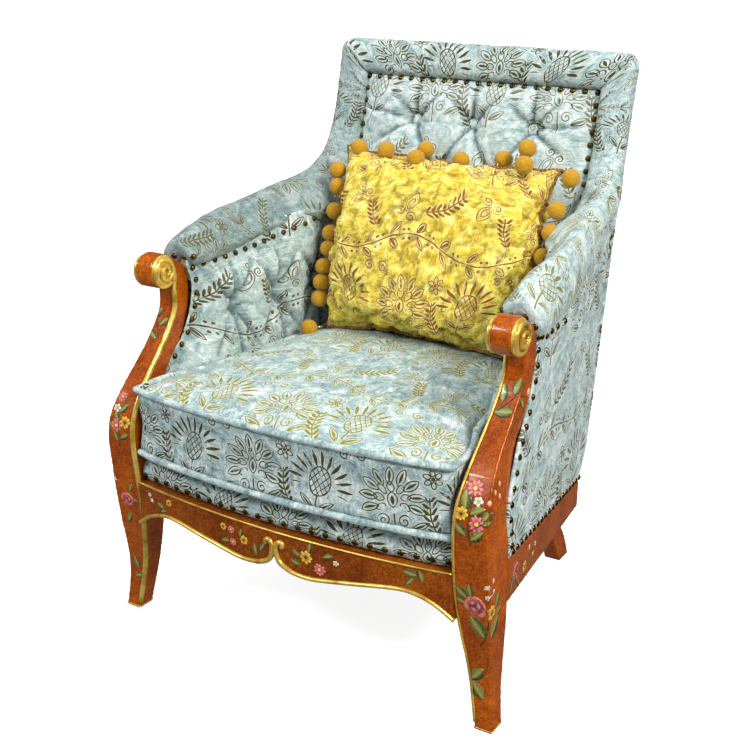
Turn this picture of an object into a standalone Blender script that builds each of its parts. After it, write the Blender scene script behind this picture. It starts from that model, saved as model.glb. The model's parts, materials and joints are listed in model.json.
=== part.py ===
"""Upholstered armchair: painted show-wood frame, tufted velvet, loose seat cushion, throw pillow.

Metres, +Z up. The chair faces -Y and X runs across it. Shapes are worked out in chair
coordinates, where Y starts at the front face of the front feet and Z at the floor. The root
empty then moves the origin to the middle of the bounding box, on the floor.
"""

import math

import bmesh
import bpy
from mathutils import Matrix, Vector
from mathutils.bvhtree import BVHTree

# Clearances
GAP = 0.0003
SETTLE_GAP = 0.0008
PAD_GAP = 0.0020
POST_GAP = 0.0050
DEPTH_MIDDLE = 0.3213

# Front legs, which rise into the arm posts and end in a scroll
LEG_OUT = 0.364
LEG_WIDE = 0.0575
LEG_IN = LEG_OUT - LEG_WIDE
FOOT_FLARE = 0.008
FOOT_OUT = LEG_OUT + FOOT_FLARE
FOOT_WIDTH = 0.030
FOOT_DEPTH = 0.035
ANKLE_IN = 0.0165
POST_INSET = 0.013
POST_OUT = LEG_OUT - POST_INSET
POST_WIDE = 0.034
POST_IN = POST_OUT - POST_WIDE
KNEE_Y = -0.022
KNEE_Z = 0.365
LEG_REAR_Y = 0.050
POST_REAR_Y = 0.152
POST_REAR_Z = 0.570
THROAT_Y = 0.113
THROAT_Z = 0.578
SCROLL_Y = 0.088
SCROLL_Z = 0.618
SCROLL_R = 0.030

# Seat frame
APRON_TOP = 0.270
APRON_THICK = 0.026
APRON_LOW = 0.203
APRON_ARCH = 0.225
APRON_CUSP = 0.232
APRON_END = 0.190
BOW = 0.0276
BOW_END_Y = -0.017
SPRING_RAIL_THICK = 0.026
SPRING_RAIL_TALL = 0.047
SEAT_RAIL_TOP = 0.262
SIDE_TAPER = 0.1545
SIDE_RAIL_PROUD = 0.002
SIDE_RAIL_OUT = LEG_OUT + SIDE_RAIL_PROUD
SIDE_RAIL_THICK = 0.026
SIDE_RAIL_TOP = 0.280
SIDE_RAIL_LOW = 0.206
SIDE_RAIL_REAR_TOP = 0.222
SIDE_RAIL_REAR_LOW = 0.172
SIDE_RAIL_END_Y = 0.480
BACK_RAIL_LOW = 0.178
BACK_RAIL_THICK = 0.026
BLOCK_LEG = 0.058
BLOCK_TALL = 0.036

# Raked back: rise runs up the rake, depth runs forward from the rear face
RAKE = math.radians(13.4)
BACK_Y = 0.530
BACK_Z = 0.270
BACK_RISE = 0.700
BACK_THICK = 0.070
BACK_FLARE = 0.0042
BACK_HALF = SIDE_RAIL_OUT - SIDE_TAPER * (BACK_Y - LEG_REAR_Y) + BACK_FLARE
BORDER_SIDE = 0.058
BORDER_TOP = 0.067
OUTSIDE_THICK = 0.006
BACK_FRAME_THICK = 0.039
INSIDE_BACK_EDGE = 0.054
INSIDE_BACK_CROWN = 0.024
CREST_RAIL_TALL = 0.048
BACK_TACK_RISE = 0.060
BACK_TACK_TALL = 0.045

# Rear legs, which carry on up as the back posts
REAR_POST_SEAT = 0.0005
REAR_POST_OUT = BACK_HALF - BORDER_SIDE - REAR_POST_SEAT
REAR_POST_WIDE = 0.033
REAR_FOOT_Y = 0.566
REAR_FOOT_DEPTH = 0.039
REAR_LEG_WAIST_Z = 0.170

# Arms: offsets are taken inward from the outer side plane
ARM_LINE_Z = 0.606
ARM_SLOPE = 0.155
ARM_ROLL = 0.055
ARM_FRONT_Y = 0.156
ARM_SWEEP_R = 0.140
ROLL_WIDE = 0.076
ROLL_BULGE = 0.004
ROLL_DROP = 0.016
ROLL_NOSE = 0.014
ROLL_FALL = 0.046
ROLL_PEAK = 0.82
REAR_TUCK = 0.012
ARM_RAIL_IN = 0.042
ARM_RAIL_TALL = 0.045
ARM_TACK_TALL = 0.044
ARM_PAD_EDGE = 0.064
ARM_PAD_CROWN = 0.014

# Springs and deck
SPRING_COUNT = 4
SPRING_PITCH = 0.120
SPRING_WIRE = 0.0018
SPRING_SWING = 0.024
SPRING_WAVES = 5
SPRING_PAD_THICK = 0.018
DECK_THICK = 0.027
NOSE_SETBACK = 0.004
NOSE_BULGE = 0.007
NOSE_REAR_Y = 0.030
DUST_THICK = 0.0015

# Tufts and covered buttons
TUFT_DEPTH = 0.018
TUFT_R = 0.055
BUTTON_R = 0.011
BUTTON_THICK = 0.006
BACK_TUFT_STEP = 0.120
BACK_TUFT_TOP = 0.555
BACK_TUFT_ROW = 0.100
ARM_TUFT_Y = 0.225
ARM_TUFT_STEP = 0.108
ARM_TUFT_Z = 0.530

# Loose seat cushion
CUSHION_EDGE_TOP = 0.440
CUSHION_EDGE_LOW = 0.326
CUSHION_CROWN = 0.030
CUSHION_POST_GAP = 0.007
CUSHION_FRONT_HALF = LEG_IN - CUSHION_POST_GAP
CUSHION_DRAW = 0.004
CUSHION_STEP_Y = 0.060
SIDE_CLEAR = 0.0012
WELT_R = 0.0050
WELT_NOTCH = 0.0070
WELT_NOTCH_TALL = 0.0090

# Throw pillow and its ball fringe
PILLOW_FRINGE_ROOM = 0.0342
PILLOW_HALF_TALL = 0.1680
PILLOW_HALF_THICK = 0.0800
PILLOW_SEAM = 0.0020
PILLOW_LEAN = math.radians(20.0)
PILLOW_X = 0.002
PILLOW_Y = 0.442
PILLOW_Z = 0.6350
PILLOW_DRAW = 0.012
PILLOW_FLARE = 0.022
CORD_R = 0.0030
POMPOM_R = 0.0165
POMPOM_SINK = 0.0035
POMPOMS_TOP = 9
POMPOMS_SIDE = 8

SMOOTH_STEPS = 5
SCROLL_STEPS = 14


# Materials

def make_material(name, colour, roughness, metallic=0.0):
    """Returns a Principled material."""
    material = bpy.data.materials.new(name)
    material.use_nodes = True
    shader = material.node_tree.nodes["Principled BSDF"]
    shader.inputs["Base Color"].default_value = (*colour, 1.0)
    shader.inputs["Roughness"].default_value = roughness
    shader.inputs["Metallic"].default_value = metallic
    return material


# Curves and lines

def smooth(knots, steps=SMOOTH_STEPS):
    """Returns a Catmull-Rom line through the knots, with the given steps between neighbours."""
    points = []
    last = len(knots) - 1
    for index in range(last):
        before = Vector(knots[max(index - 1, 0)])
        start = Vector(knots[index])
        end = Vector(knots[index + 1])
        after = Vector(knots[min(index + 2, last)])
        for step in range(steps):
            t = step / steps
            spread = (2.0 * before - 5.0 * start + 4.0 * end - after) * t * t
            bend = (3.0 * start - before - 3.0 * end + after) * t * t * t
            points.append(0.5 * (2.0 * start + (end - before) * t + spread + bend))
    points.append(Vector(knots[last]))
    return points


def height_lookup(points, z):
    """Returns the first coordinate of a line of (value, z) points at height z."""
    for low, high in zip(points, points[1:]):
        if low.y <= z <= high.y:
            share = (z - low.y) / (high.y - low.y)
            return low.x + (high.x - low.x) * share
    return points[0].x if z < points[0].y else points[-1].x


def blend(start, end, share):
    """Mixes two numbers or vectors."""
    return start + (end - start) * share


def ease(low, high, value):
    """Smooth step from 0 at low to 1 at high."""
    share = min(max((value - low) / (high - low), 0.0), 1.0)
    return share * share * (3.0 - 2.0 * share)


def cut_positions(keys, parts):
    """Returns inner cut positions, 0 to 1, that keep every key and split each span in parts."""
    cuts = []
    span = keys[-1] - keys[0]
    for low, high in zip(keys, keys[1:]):
        cuts += [(low + (high - low) * step / parts - keys[0]) / span for step in range(parts)]
    return cuts[1:]


def even_cuts(count):
    """Returns the cut positions that split an edge in equal parts."""
    return [step / count for step in range(1, count)]


# Objects

def clear_scene():
    """Removes what the startup file holds."""
    for obj in list(bpy.data.objects):
        bpy.data.objects.remove(obj, do_unlink=True)


def make_collection(name):
    """Returns a new collection in the scene."""
    collection = bpy.data.collections.new(name)
    bpy.context.scene.collection.children.link(collection)
    return collection


def make_empty(name, place, parent=None):
    """Returns an empty at a place in chair coordinates."""
    empty = bpy.data.objects.new(name, None)
    empty.location = place
    empty.parent = parent
    PARTS.objects.link(empty)
    return empty


def add_part(name, mesh, material, carrier=None):
    """Adds a part whose mesh is in chair coordinates, carried by an empty."""
    mesh.name = name
    mesh.materials.clear()
    mesh.materials.append(material)
    obj = bpy.data.objects.new(name, mesh)
    PARTS.objects.link(obj)
    obj.parent = carrier or CHAIR
    if carrier:
        obj.location = -carrier.location
    return obj


def mesh_from(shape):
    """Turns a bmesh into a mesh with its faces pointing out."""
    bmesh.ops.recalc_face_normals(shape, faces=shape.faces)
    if shape.calc_volume(signed=True) < 0.0:
        bmesh.ops.reverse_faces(shape, faces=shape.faces)
    mesh = bpy.data.meshes.new("shape")
    shape.to_mesh(mesh)
    shape.free()
    return mesh


def mirror_part(source, name):
    """Adds the left-hand twin of a right-hand part."""
    shape = bmesh.new()
    shape.from_mesh(source.data)
    bmesh.ops.transform(shape, matrix=Matrix.Scale(-1.0, 4, (1, 0, 0)), verts=shape.verts)
    bmesh.ops.reverse_faces(shape, faces=shape.faces)
    return add_part(name, mesh_from(shape), source.data.materials[0])


def mesh_of_curve(curve):
    """Returns the welded mesh of a curve, through a short-lived object."""
    holder = bpy.data.objects.new("curve", curve)
    CUTTERS.objects.link(holder)
    bpy.context.view_layer.update()
    graph = bpy.context.evaluated_depsgraph_get()
    mesh = bpy.data.meshes.new_from_object(holder.evaluated_get(graph))
    bpy.data.objects.remove(holder, do_unlink=True)
    shape = bmesh.new()
    shape.from_mesh(mesh)
    bmesh.ops.remove_doubles(shape, verts=shape.verts, dist=0.00001)
    return mesh_from(shape)


def prism(outline, axis, low, high):
    """Extrudes a flat outline along X, Y or Z, from low to high.

    Outlines are (y, z) for axis X, (x, z) for axis Y and (x, y) for axis Z.
    """
    curve = bpy.data.curves.new("outline", "CURVE")
    curve.dimensions = "2D"
    curve.fill_mode = "BOTH"
    curve.extrude = (high - low) / 2.0
    spline = curve.splines.new("POLY")
    spline.points.add(len(outline) - 1)
    for point, place in zip(spline.points, outline):
        point.co = (place[0], place[1], 0.0, 1.0)
    spline.use_cyclic_u = True
    mesh = mesh_of_curve(curve)
    columns = {"X": ((0, 0, 1), (1, 0, 0), (0, 1, 0)),
               "Y": ((1, 0, 0), (0, 0, -1), (0, 1, 0)),
               "Z": ((1, 0, 0), (0, 1, 0), (0, 0, 1))}[axis]
    turn = Matrix(columns).to_4x4()
    shift = Vector([(low + high) / 2.0 if name == axis else 0.0 for name in "XYZ"])
    mesh.transform(Matrix.Translation(shift) @ turn)
    return mesh


def combine(first, second, operation):
    """Returns the Boolean of two meshes."""
    holder = bpy.data.objects.new("first", first)
    cutter = bpy.data.objects.new("second", second)
    for obj in (holder, cutter):
        CUTTERS.objects.link(obj)
    modifier = holder.modifiers.new("cut", "BOOLEAN")
    modifier.operation = operation
    modifier.object = cutter
    bpy.context.view_layer.update()
    graph = bpy.context.evaluated_depsgraph_get()
    mesh = bpy.data.meshes.new_from_object(holder.evaluated_get(graph))
    for obj in (holder, cutter):
        bpy.data.objects.remove(obj, do_unlink=True)
    return mesh


def warped_box(cuts, place):
    """Returns a box, cut along its three axes, with each point moved by place(a, b, c)."""
    shape = bmesh.new()
    bmesh.ops.create_cube(shape, size=1.0, matrix=Matrix.Translation((0.5, 0.5, 0.5)))
    for axis, positions in enumerate(cuts):
        normal = Vector([1.0 if index == axis else 0.0 for index in range(3)])
        for position in positions:
            everything = shape.verts[:] + shape.edges[:] + shape.faces[:]
            bmesh.ops.bisect_plane(shape, geom=everything, plane_co=normal * position, plane_no=normal)
    for vertex in shape.verts:
        vertex.co = place(*vertex.co)
    bmesh.ops.triangulate(shape, faces=shape.faces)
    return mesh_from(shape)


def tube(points, radius, closed=False):
    """Returns a round tube along the points."""
    curve = bpy.data.curves.new("tube", "CURVE")
    curve.dimensions = "3D"
    curve.bevel_depth = radius
    curve.bevel_resolution = 1
    curve.use_fill_caps = not closed
    spline = curve.splines.new("POLY")
    spline.points.add(len(points) - 1)
    for point, place in zip(spline.points, points):
        point.co = (*place, 1.0)
    spline.use_cyclic_u = closed
    mesh = mesh_of_curve(curve)
    mesh.shade_smooth()
    return mesh


# Shared geometry

def side_x(y):
    """Half width of the chair's outer side plane at depth y."""
    return SIDE_RAIL_OUT - SIDE_TAPER * (y - LEG_REAR_Y)


def bow_y(x):
    """Bowed front line of the apron and the cushion in plan."""
    return BOW_END_Y - BOW * (1.0 - (x / LEG_IN) ** 2)


def arm_line(y):
    """Height of the nailed line under the arm roll."""
    return ARM_LINE_Z + ARM_SLOPE * y


def rail_top(y):
    """Height of the side rail's top edge, carried on behind the rail."""
    share = (y - LEG_REAR_Y) / (SIDE_RAIL_END_Y - LEG_REAR_Y)
    return blend(SIDE_RAIL_TOP, SIDE_RAIL_REAR_TOP, share)


def back_point(x, rise, depth):
    """A point of the raked back."""
    return Vector((x,
                   BACK_Y + rise * math.sin(RAKE) - depth * math.cos(RAKE),
                   BACK_Z + rise * math.cos(RAKE) + depth * math.sin(RAKE)))


def back_y(z, depth):
    """Depth coordinate of the raked plane at a height."""
    return BACK_Y + (z - BACK_Z) * math.tan(RAKE) - depth / math.cos(RAKE)


def back_rise(z, depth):
    """Rise along the rake of the point of that plane at a height."""
    return (z - BACK_Z - depth * math.sin(RAKE)) / math.cos(RAKE)


def post_front_line():
    """Front edge of leg and post as (y, z), from the floor to the scroll's throat."""
    return smooth([(0.0, 0.0), (0.006, 0.090), (-0.004, 0.170), (BOW_END_Y, APRON_TOP),
                   (KNEE_Y, KNEE_Z), (KNEE_Y + 0.032, KNEE_Z + 0.060),
                   (KNEE_Y + 0.095, KNEE_Z + 0.127), (THROAT_Y - 0.004, THROAT_Z - 0.038),
                   (THROAT_Y, THROAT_Z)])


def post_rear_line():
    """Rear edge of leg and post as (y, z), from the floor to the top of the scroll."""
    return smooth([(FOOT_DEPTH, 0.0), (LEG_REAR_Y - 0.002, 0.090), (LEG_REAR_Y, 0.170),
                   (LEG_REAR_Y, 0.300), (LEG_REAR_Y - 0.008, KNEE_Z), (POST_REAR_Y - 0.072, 0.445),
                   (POST_REAR_Y - 0.024, 0.500), (POST_REAR_Y, POST_REAR_Z),
                   (POST_REAR_Y - 0.010, SCROLL_Z)])


def leg_inner_line():
    """Inner face of leg and post as (x, z)."""
    return smooth([(FOOT_OUT - FOOT_WIDTH, 0.0), (LEG_IN + ANKLE_IN, 0.110),
                   (LEG_IN + 0.004, 0.190), (LEG_IN, 0.240), (LEG_IN + 0.001, KNEE_Z),
                   (POST_IN - 0.004, 0.480), (POST_IN, SCROLL_Z + 2.0 * SCROLL_R)])


def leg_outer_line():
    """Outer face of leg and post as (x, z)."""
    return smooth([(FOOT_OUT, 0.0), (LEG_OUT, 0.080), (LEG_OUT + 0.002, 0.200),
                   (LEG_OUT - 0.001, KNEE_Z), (POST_OUT, 0.480),
                   (POST_OUT, SCROLL_Z + 2.0 * SCROLL_R)])


def rear_leg_front_line():
    """Front edge of the rear leg as (y, z), from the floor to the seat rail."""
    waist = back_y(BACK_Z, OUTSIDE_THICK + GAP + BACK_FRAME_THICK) - 0.001
    return smooth([(REAR_FOOT_Y, 0.0), (REAR_FOOT_Y - 0.033, 0.055), (waist + 0.012, 0.110),
                   (waist, REAR_LEG_WAIST_Z), (waist, SEAT_RAIL_TOP)], 3)


def post_rear(z):
    """Rear edge of the post at a height."""
    return height_lookup(POST_REAR_LINE, z)


def leg_inner(z):
    """Inner face of the leg at a height."""
    return height_lookup(LEG_INNER_LINE, z)


# Show-wood frame

def build_front_posts():
    """Sabre legs that sweep up into scrolled arm posts, sawn from two outlines."""
    start = math.radians(-50.0)
    sweep = math.radians(-270.0)
    scroll = []
    for step in range(SCROLL_STEPS + 1):
        angle = start + sweep * step / SCROLL_STEPS
        scroll.append((SCROLL_Y + SCROLL_R * math.cos(angle), SCROLL_Z + SCROLL_R * math.sin(angle)))
    side = [tuple(point) for point in post_front_line()] + scroll
    side += [tuple(point) for point in reversed(POST_REAR_LINE)]
    front = [tuple(point) for point in leg_outer_line()]
    front += [tuple(point) for point in reversed(LEG_INNER_LINE)]
    side_block = prism(side, "X", LEG_IN - SIDE_RAIL_THICK, FOOT_OUT + SIDE_RAIL_THICK)
    front_block = prism(front, "Y", KNEE_Y - BOW, POST_REAR_Y + BOW)
    right = add_part("front_post_right", combine(side_block, front_block, "INTERSECT"), PAINT)
    mirror_part(right, "front_post_left")


def build_apron():
    """Bow-fronted apron with a scalloped lower edge and a cusp in the middle."""
    reach = leg_inner(APRON_END) - GAP
    half = smooth([(0.0, APRON_CUSP), (0.014, APRON_LOW + 0.012), (0.034, APRON_LOW + 0.002),
                   (0.070, APRON_LOW), (0.435 * reach, APRON_LOW + 0.010), (0.693 * reach, APRON_ARCH),
                   (0.813 * reach, APRON_ARCH - 0.003), (0.910 * reach, APRON_END + 0.020),
                   (reach, APRON_END)], 4)
    end = [Vector((point.x - GAP, point.y)) for point in LEG_INNER_LINE if APRON_END < point.y < APRON_TOP]
    end.append(Vector((leg_inner(APRON_TOP) - GAP, APRON_TOP)))
    right = [tuple(point) for point in half + end]
    outline = right + [(-x, z) for x, z in reversed(right[1:])]
    steps = 16
    line = [LEG_IN * 1.05 * (2.0 * step / steps - 1.0) for step in range(steps + 1)]
    plan = [(x, bow_y(x)) for x in line] + [(x, bow_y(x) + APRON_THICK) for x in reversed(line)]
    front_block = prism(outline, "Y", BOW_END_Y - 2.0 * BOW, BOW_END_Y + 2.0 * APRON_THICK)
    plan_block = prism(plan, "Z", 0.0, 2.0 * APRON_TOP)
    add_part("front_apron", combine(front_block, plan_block, "INTERSECT"), PAINT)


def build_side_rails():
    """Side seat rails, which fall and narrow toward the rear."""
    front = post_rear(SIDE_RAIL_LOW) + GAP
    plan = [(side_x(front), front), (side_x(SIDE_RAIL_END_Y), SIDE_RAIL_END_Y),
            (side_x(SIDE_RAIL_END_Y) - SIDE_RAIL_THICK, SIDE_RAIL_END_Y),
            (side_x(front) - SIDE_RAIL_THICK, front)]
    reach = SIDE_RAIL_THICK
    slope = (SIDE_RAIL_REAR_LOW - SIDE_RAIL_LOW) / (SIDE_RAIL_END_Y - LEG_REAR_Y)
    side = [(y, SIDE_RAIL_LOW + slope * (y - LEG_REAR_Y)) for y in (front - reach, SIDE_RAIL_END_Y + reach)]
    side += [(y, rail_top(y)) for y in (SIDE_RAIL_END_Y + reach, front - reach)]
    plan_block = prism(plan, "Z", 0.0, 2.0 * SIDE_RAIL_TOP)
    side_block = prism(side, "X", 0.0, 2.0 * SIDE_RAIL_OUT)
    right = add_part("side_rail_right", combine(plan_block, side_block, "INTERSECT"), PAINT)
    mirror_part(right, "side_rail_left")


def build_rear_posts():
    """Raked rear legs, each in one piece with its back post."""
    top = BACK_RISE - BORDER_TOP - GAP
    rear_depth = OUTSIDE_THICK + GAP
    front_depth = rear_depth + BACK_FRAME_THICK
    rear_top = back_point(0.0, top, rear_depth)
    front_top = back_point(0.0, top, front_depth)
    waist_rear = back_y(BACK_Z, rear_depth) - 0.006
    front = rear_leg_front_line()
    rear = smooth([(waist_rear + 0.004, SEAT_RAIL_TOP), (waist_rear, REAR_LEG_WAIST_Z),
                   (waist_rear + 0.020, 0.110), (REAR_FOOT_Y + REAR_FOOT_DEPTH - 0.026, 0.055),
                   (REAR_FOOT_Y + REAR_FOOT_DEPTH, 0.0)], 3)
    outline = [tuple(point) for point in front] + [(front_top.y, front_top.z), (rear_top.y, rear_top.z)]
    outline += [tuple(point) for point in rear]
    mesh = prism(outline, "X", REAR_POST_OUT - REAR_POST_WIDE, REAR_POST_OUT)
    right = add_part("rear_post_right", mesh, PAINT)
    mirror_part(right, "rear_post_left")


def plain_box(low, high):
    """Returns a box between two corners."""
    low, high = Vector(low), Vector(high)

    def place(a, b, c):
        return Vector((blend(low.x, high.x, a), blend(low.y, high.y, b), blend(low.z, high.z, c)))

    return warped_box(((), (), ()), place)


def build_cross_rails():
    """Hidden front spring rail and back seat rail."""
    spring_y = BOW_END_Y + APRON_THICK + GAP
    half = leg_inner(SEAT_RAIL_TOP) - GAP
    low = SEAT_RAIL_TOP - SPRING_RAIL_TALL
    mesh = plain_box((-half, spring_y, low), (half, spring_y + SPRING_RAIL_THICK, SEAT_RAIL_TOP))
    add_part("front_spring_rail", mesh, BEECH)
    rear = BACK_RAIL_Y + BACK_RAIL_THICK

    def place(a, b, c):
        y = blend(BACK_RAIL_Y, rear, b)
        reach = side_x(y) - SIDE_RAIL_THICK - GAP
        return Vector((blend(-reach, reach, a), y, blend(BACK_RAIL_LOW, SEAT_RAIL_TOP, c)))

    add_part("back_seat_rail", warped_box(((), (), ()), place), BEECH)


def build_corner_blocks():
    """Glued corner blocks under the springs, front and rear, both sides."""
    high = SEAT_RAIL_TOP - SPRING_RAIL_TALL + BLOCK_TALL
    front = BOW_END_Y + APRON_THICK + SPRING_RAIL_THICK + 2.0 * GAP
    plans = {"front": (max(front, LEG_REAR_Y + PAD_GAP), 1.0), "rear": (BACK_RAIL_Y - GAP, -1.0)}
    for name, (y, way) in plans.items():
        def wall(at):
            return side_x(at) - SIDE_RAIL_THICK - GAP
        plan = [(wall(y), y), (wall(y + way * BLOCK_LEG), y + way * BLOCK_LEG),
                (wall(y + way * BLOCK_LEG) - 0.2 * BLOCK_LEG, y + way * BLOCK_LEG),
                (wall(y) - BLOCK_LEG, y + way * 0.2 * BLOCK_LEG), (wall(y) - BLOCK_LEG, y)]
        right = add_part(f"corner_block_{name}_right", prism(plan, "Z", high - BLOCK_TALL, high), BEECH)
        mirror_part(right, f"corner_block_{name}_left")


def build_back_frame():
    """Crest rail and tacking rail between the back posts."""
    half = REAR_POST_OUT - REAR_POST_WIDE - GAP
    crest = BACK_RISE - BORDER_TOP - GAP - CREST_RAIL_TALL
    for name, rise, tall in (("crest_rail", crest, CREST_RAIL_TALL),
                             ("back_tack_rail", BACK_TACK_RISE, BACK_TACK_TALL)):
        def place(a, b, c):
            depth = OUTSIDE_THICK + GAP + BACK_FRAME_THICK * c
            return back_point(blend(-half, half, a), rise + tall * b, depth)
        add_part(name, warped_box(((), (), ()), place), BEECH)


def build_arm_rails():
    """Arm rail under the roll and tacking rail at deck level, between post and back."""
    rows = (("arm_rail", lambda y: arm_line(y) - GAP, ARM_RAIL_TALL),
            ("arm_tack_rail", lambda y: SPRING_PAD_TOP + GAP + ARM_TACK_TALL, ARM_TACK_TALL))
    for name, top_line, tall in rows:
        def place(a, b, c):
            y = 0.0
            z = 0.0
            for _ in range(4):
                z = top_line(y) - tall * (1.0 - c)
                y = blend(post_rear(z) + POST_GAP, back_y(z, OUTSIDE_THICK + 2.0 * GAP), b)
            inner = max(side_x(y) - ARM_RAIL_IN, REAR_POST_OUT + GAP)
            return Vector((blend(inner, side_x(y) - OUTSIDE_THICK - GAP, a), y, z))
        right = add_part(f"{name}_right", warped_box(((), (), even_cuts(3)), place), BEECH)
        mirror_part(right, f"{name}_left")


# Springs and deck

def build_springs():
    """Sinuous springs from the front spring rail to the back seat rail."""
    front = BOW_END_Y + APRON_THICK + 4.0 * SPRING_WIRE
    rear = BACK_RAIL_Y + BACK_RAIL_THICK - 2.0 * SPRING_WIRE
    z = SEAT_RAIL_TOP + GAP + SPRING_WIRE
    samples = 6 * SPRING_WAVES
    for index in range(SPRING_COUNT):
        middle = (index - (SPRING_COUNT - 1) / 2.0) * SPRING_PITCH
        points = []
        for step in range(samples + 1):
            share = step / samples
            swing = SPRING_SWING * math.sin(2.0 * math.pi * SPRING_WAVES * share)
            points.append((middle + swing, blend(front, rear, share), z))
        add_part(f"seat_spring_{index + 1}", tube(points, SPRING_WIRE), STEEL)


def build_deck():
    """Spring pad, deck, nose roll and dust cover."""
    pad_front = BOW_END_Y + APRON_THICK + SPRING_RAIL_THICK + 2.0 * GAP

    def pad_place(a, b, c):
        y = blend(pad_front, BACK_RAIL_Y + BACK_RAIL_THICK, b)
        reach = min(side_x(y) - SIDE_RAIL_THICK - GAP, leg_inner(SPRING_PAD_TOP) - PAD_GAP)
        return Vector((blend(-reach, reach, a), y, SPRING_PAD_TOP - SPRING_PAD_THICK * (1.0 - c)))

    add_part("spring_pad", warped_box(((), even_cuts(3), ()), pad_place), FELT)

    def deck_place(a, b, c):
        z = blend(SPRING_PAD_TOP + GAP, DECK_TOP, c)
        y = blend(NOSE_REAR_Y + GAP, back_y(SPRING_PAD_TOP, INSIDE_BACK_MAX) - GAP, b)
        reach = side_x(y) - ARM_INSIDE - GAP
        return Vector((blend(-reach, reach, a), y, z))

    add_part("seat_deck", warped_box(((), (), ()), deck_place), FELT)

    def nose_place(a, b, c):
        reach = leg_inner(DECK_TOP) - PAD_GAP
        x = blend(-reach, reach, a)
        swell = NOSE_BULGE * math.sin(math.pi * c) - NOSE_BULGE * c * c
        front = bow_y(x) + NOSE_SETBACK - swell
        z = blend(APRON_TOP + GAP, DECK_TOP - GAP, c)
        drop = NOSE_BULGE * (1.0 - b) ** 4 * c
        return Vector((x, blend(front, NOSE_REAR_Y, b), z - drop))

    add_part("nose_roll", warped_box((even_cuts(12), even_cuts(4), even_cuts(4)), nose_place), VELVET)

    dust_front = LEG_REAR_Y + PAD_GAP
    dust_rear = BACK_RAIL_Y + BACK_RAIL_THICK

    def dust_place(a, b, c):
        y = blend(dust_front, dust_rear, b)
        fall = min((y - dust_front) / (BACK_RAIL_Y - dust_front), 1.0)
        low = blend(SIDE_RAIL_LOW, BACK_RAIL_LOW - GAP, fall)
        reach = side_x(y) - SIDE_RAIL_THICK - GAP
        return Vector((blend(-reach, reach, a), y, low - DUST_THICK * (1.0 - c)))

    bend = cut_positions([dust_front, BACK_RAIL_Y, dust_rear], 1)
    add_part("dust_cover", warped_box(((), bend, ()), dust_place), CAMBRIC)


# Fixed upholstery

def tuft_dip(distance):
    """Depth of a tuft's dimple at a distance from its button."""
    return TUFT_DEPTH * max(0.0, 1.0 - distance / TUFT_R)


def back_tufts():
    """Places of the back's buttons as (x, rise): rows of three, two and three."""
    places = []
    for row, shares in enumerate(((-1.0, 0.0, 1.0), (-0.5, 0.5), (-1.0, 0.0, 1.0))):
        rise = BACK_TUFT_TOP - row * BACK_TUFT_ROW
        places += [(share * BACK_TUFT_STEP, rise) for share in shares]
    return places


def arm_tufts():
    """Places of an arm's buttons as (y, z)."""
    return [(ARM_TUFT_Y + index * ARM_TUFT_STEP, ARM_TUFT_Z) for index in range(3)]


def dips(first, second, tufts):
    """Depth that the nearest tuft takes off a face."""
    return max(tuft_dip(math.hypot(first - tuft[0], second - tuft[1])) for tuft in tufts)


def back_crown(x, rise):
    """Depth of the inside back's front face before it is tufted."""
    half = BACK_HALF - BORDER_SIDE
    low = back_rise(SPRING_PAD_TOP, INSIDE_BACK_EDGE)
    middle = (2.0 * rise - low - BACK_RISE + BORDER_TOP) / (BACK_RISE - BORDER_TOP - low)
    crown = (1.0 - min(abs(x) / half, 1.0) ** 4) * (1.0 - min(abs(middle), 1.0) ** 6)
    return INSIDE_BACK_EDGE + INSIDE_BACK_CROWN * crown


def arm_crown(y, z):
    """Offset of an inside arm's inner face from the outer side plane, before it is tufted."""
    low = SPRING_PAD_TOP
    along = min(max((y - LEG_REAR_Y) / (BACK_Y - BACK_THICK - LEG_REAR_Y), 0.0), 1.0)
    up = min(max((z - low) / (arm_line(y) - low), 0.0), 1.0)
    crown = (1.0 - (2.0 * along - 1.0) ** 6) * (1.0 - (2.0 * up - 1.0) ** 6)
    return ARM_PAD_EDGE + ARM_PAD_CROWN * crown


def back_surface(x, rise):
    """Depth of the tufted front face of the inside back."""
    return back_crown(x, rise) - dips(x, rise, back_tufts())


def arm_surface(y, z):
    """Offset of the tufted inner face of an inside arm from the outer side plane."""
    return arm_crown(y, z) - dips(y, z, arm_tufts())


def build_inside_back():
    """Tufted inside back between the border bands."""
    half = BACK_HALF - BORDER_SIDE - GAP
    inner_depth = OUTSIDE_THICK + BACK_FRAME_THICK + 2.0 * GAP
    low = back_rise(SPRING_PAD_TOP + PAD_GAP, inner_depth)
    high = BACK_RISE - BORDER_TOP - GAP
    step = BACK_TUFT_STEP
    across = cut_positions([-half, -step, -step / 2.0, 0.0, step / 2.0, step, half], 2)
    rows = [BACK_TUFT_TOP - row * BACK_TUFT_ROW for row in (2, 1, 0)]
    up = cut_positions([low, *rows, high], 3)

    def place(a, b, c):
        x = blend(-half, half, a)
        rise = blend(low, high, b)
        return back_point(x, rise, blend(inner_depth, back_surface(x, rise), c))

    return add_part("inside_back", warped_box((across, up, ()), place), VELVET)


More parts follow.
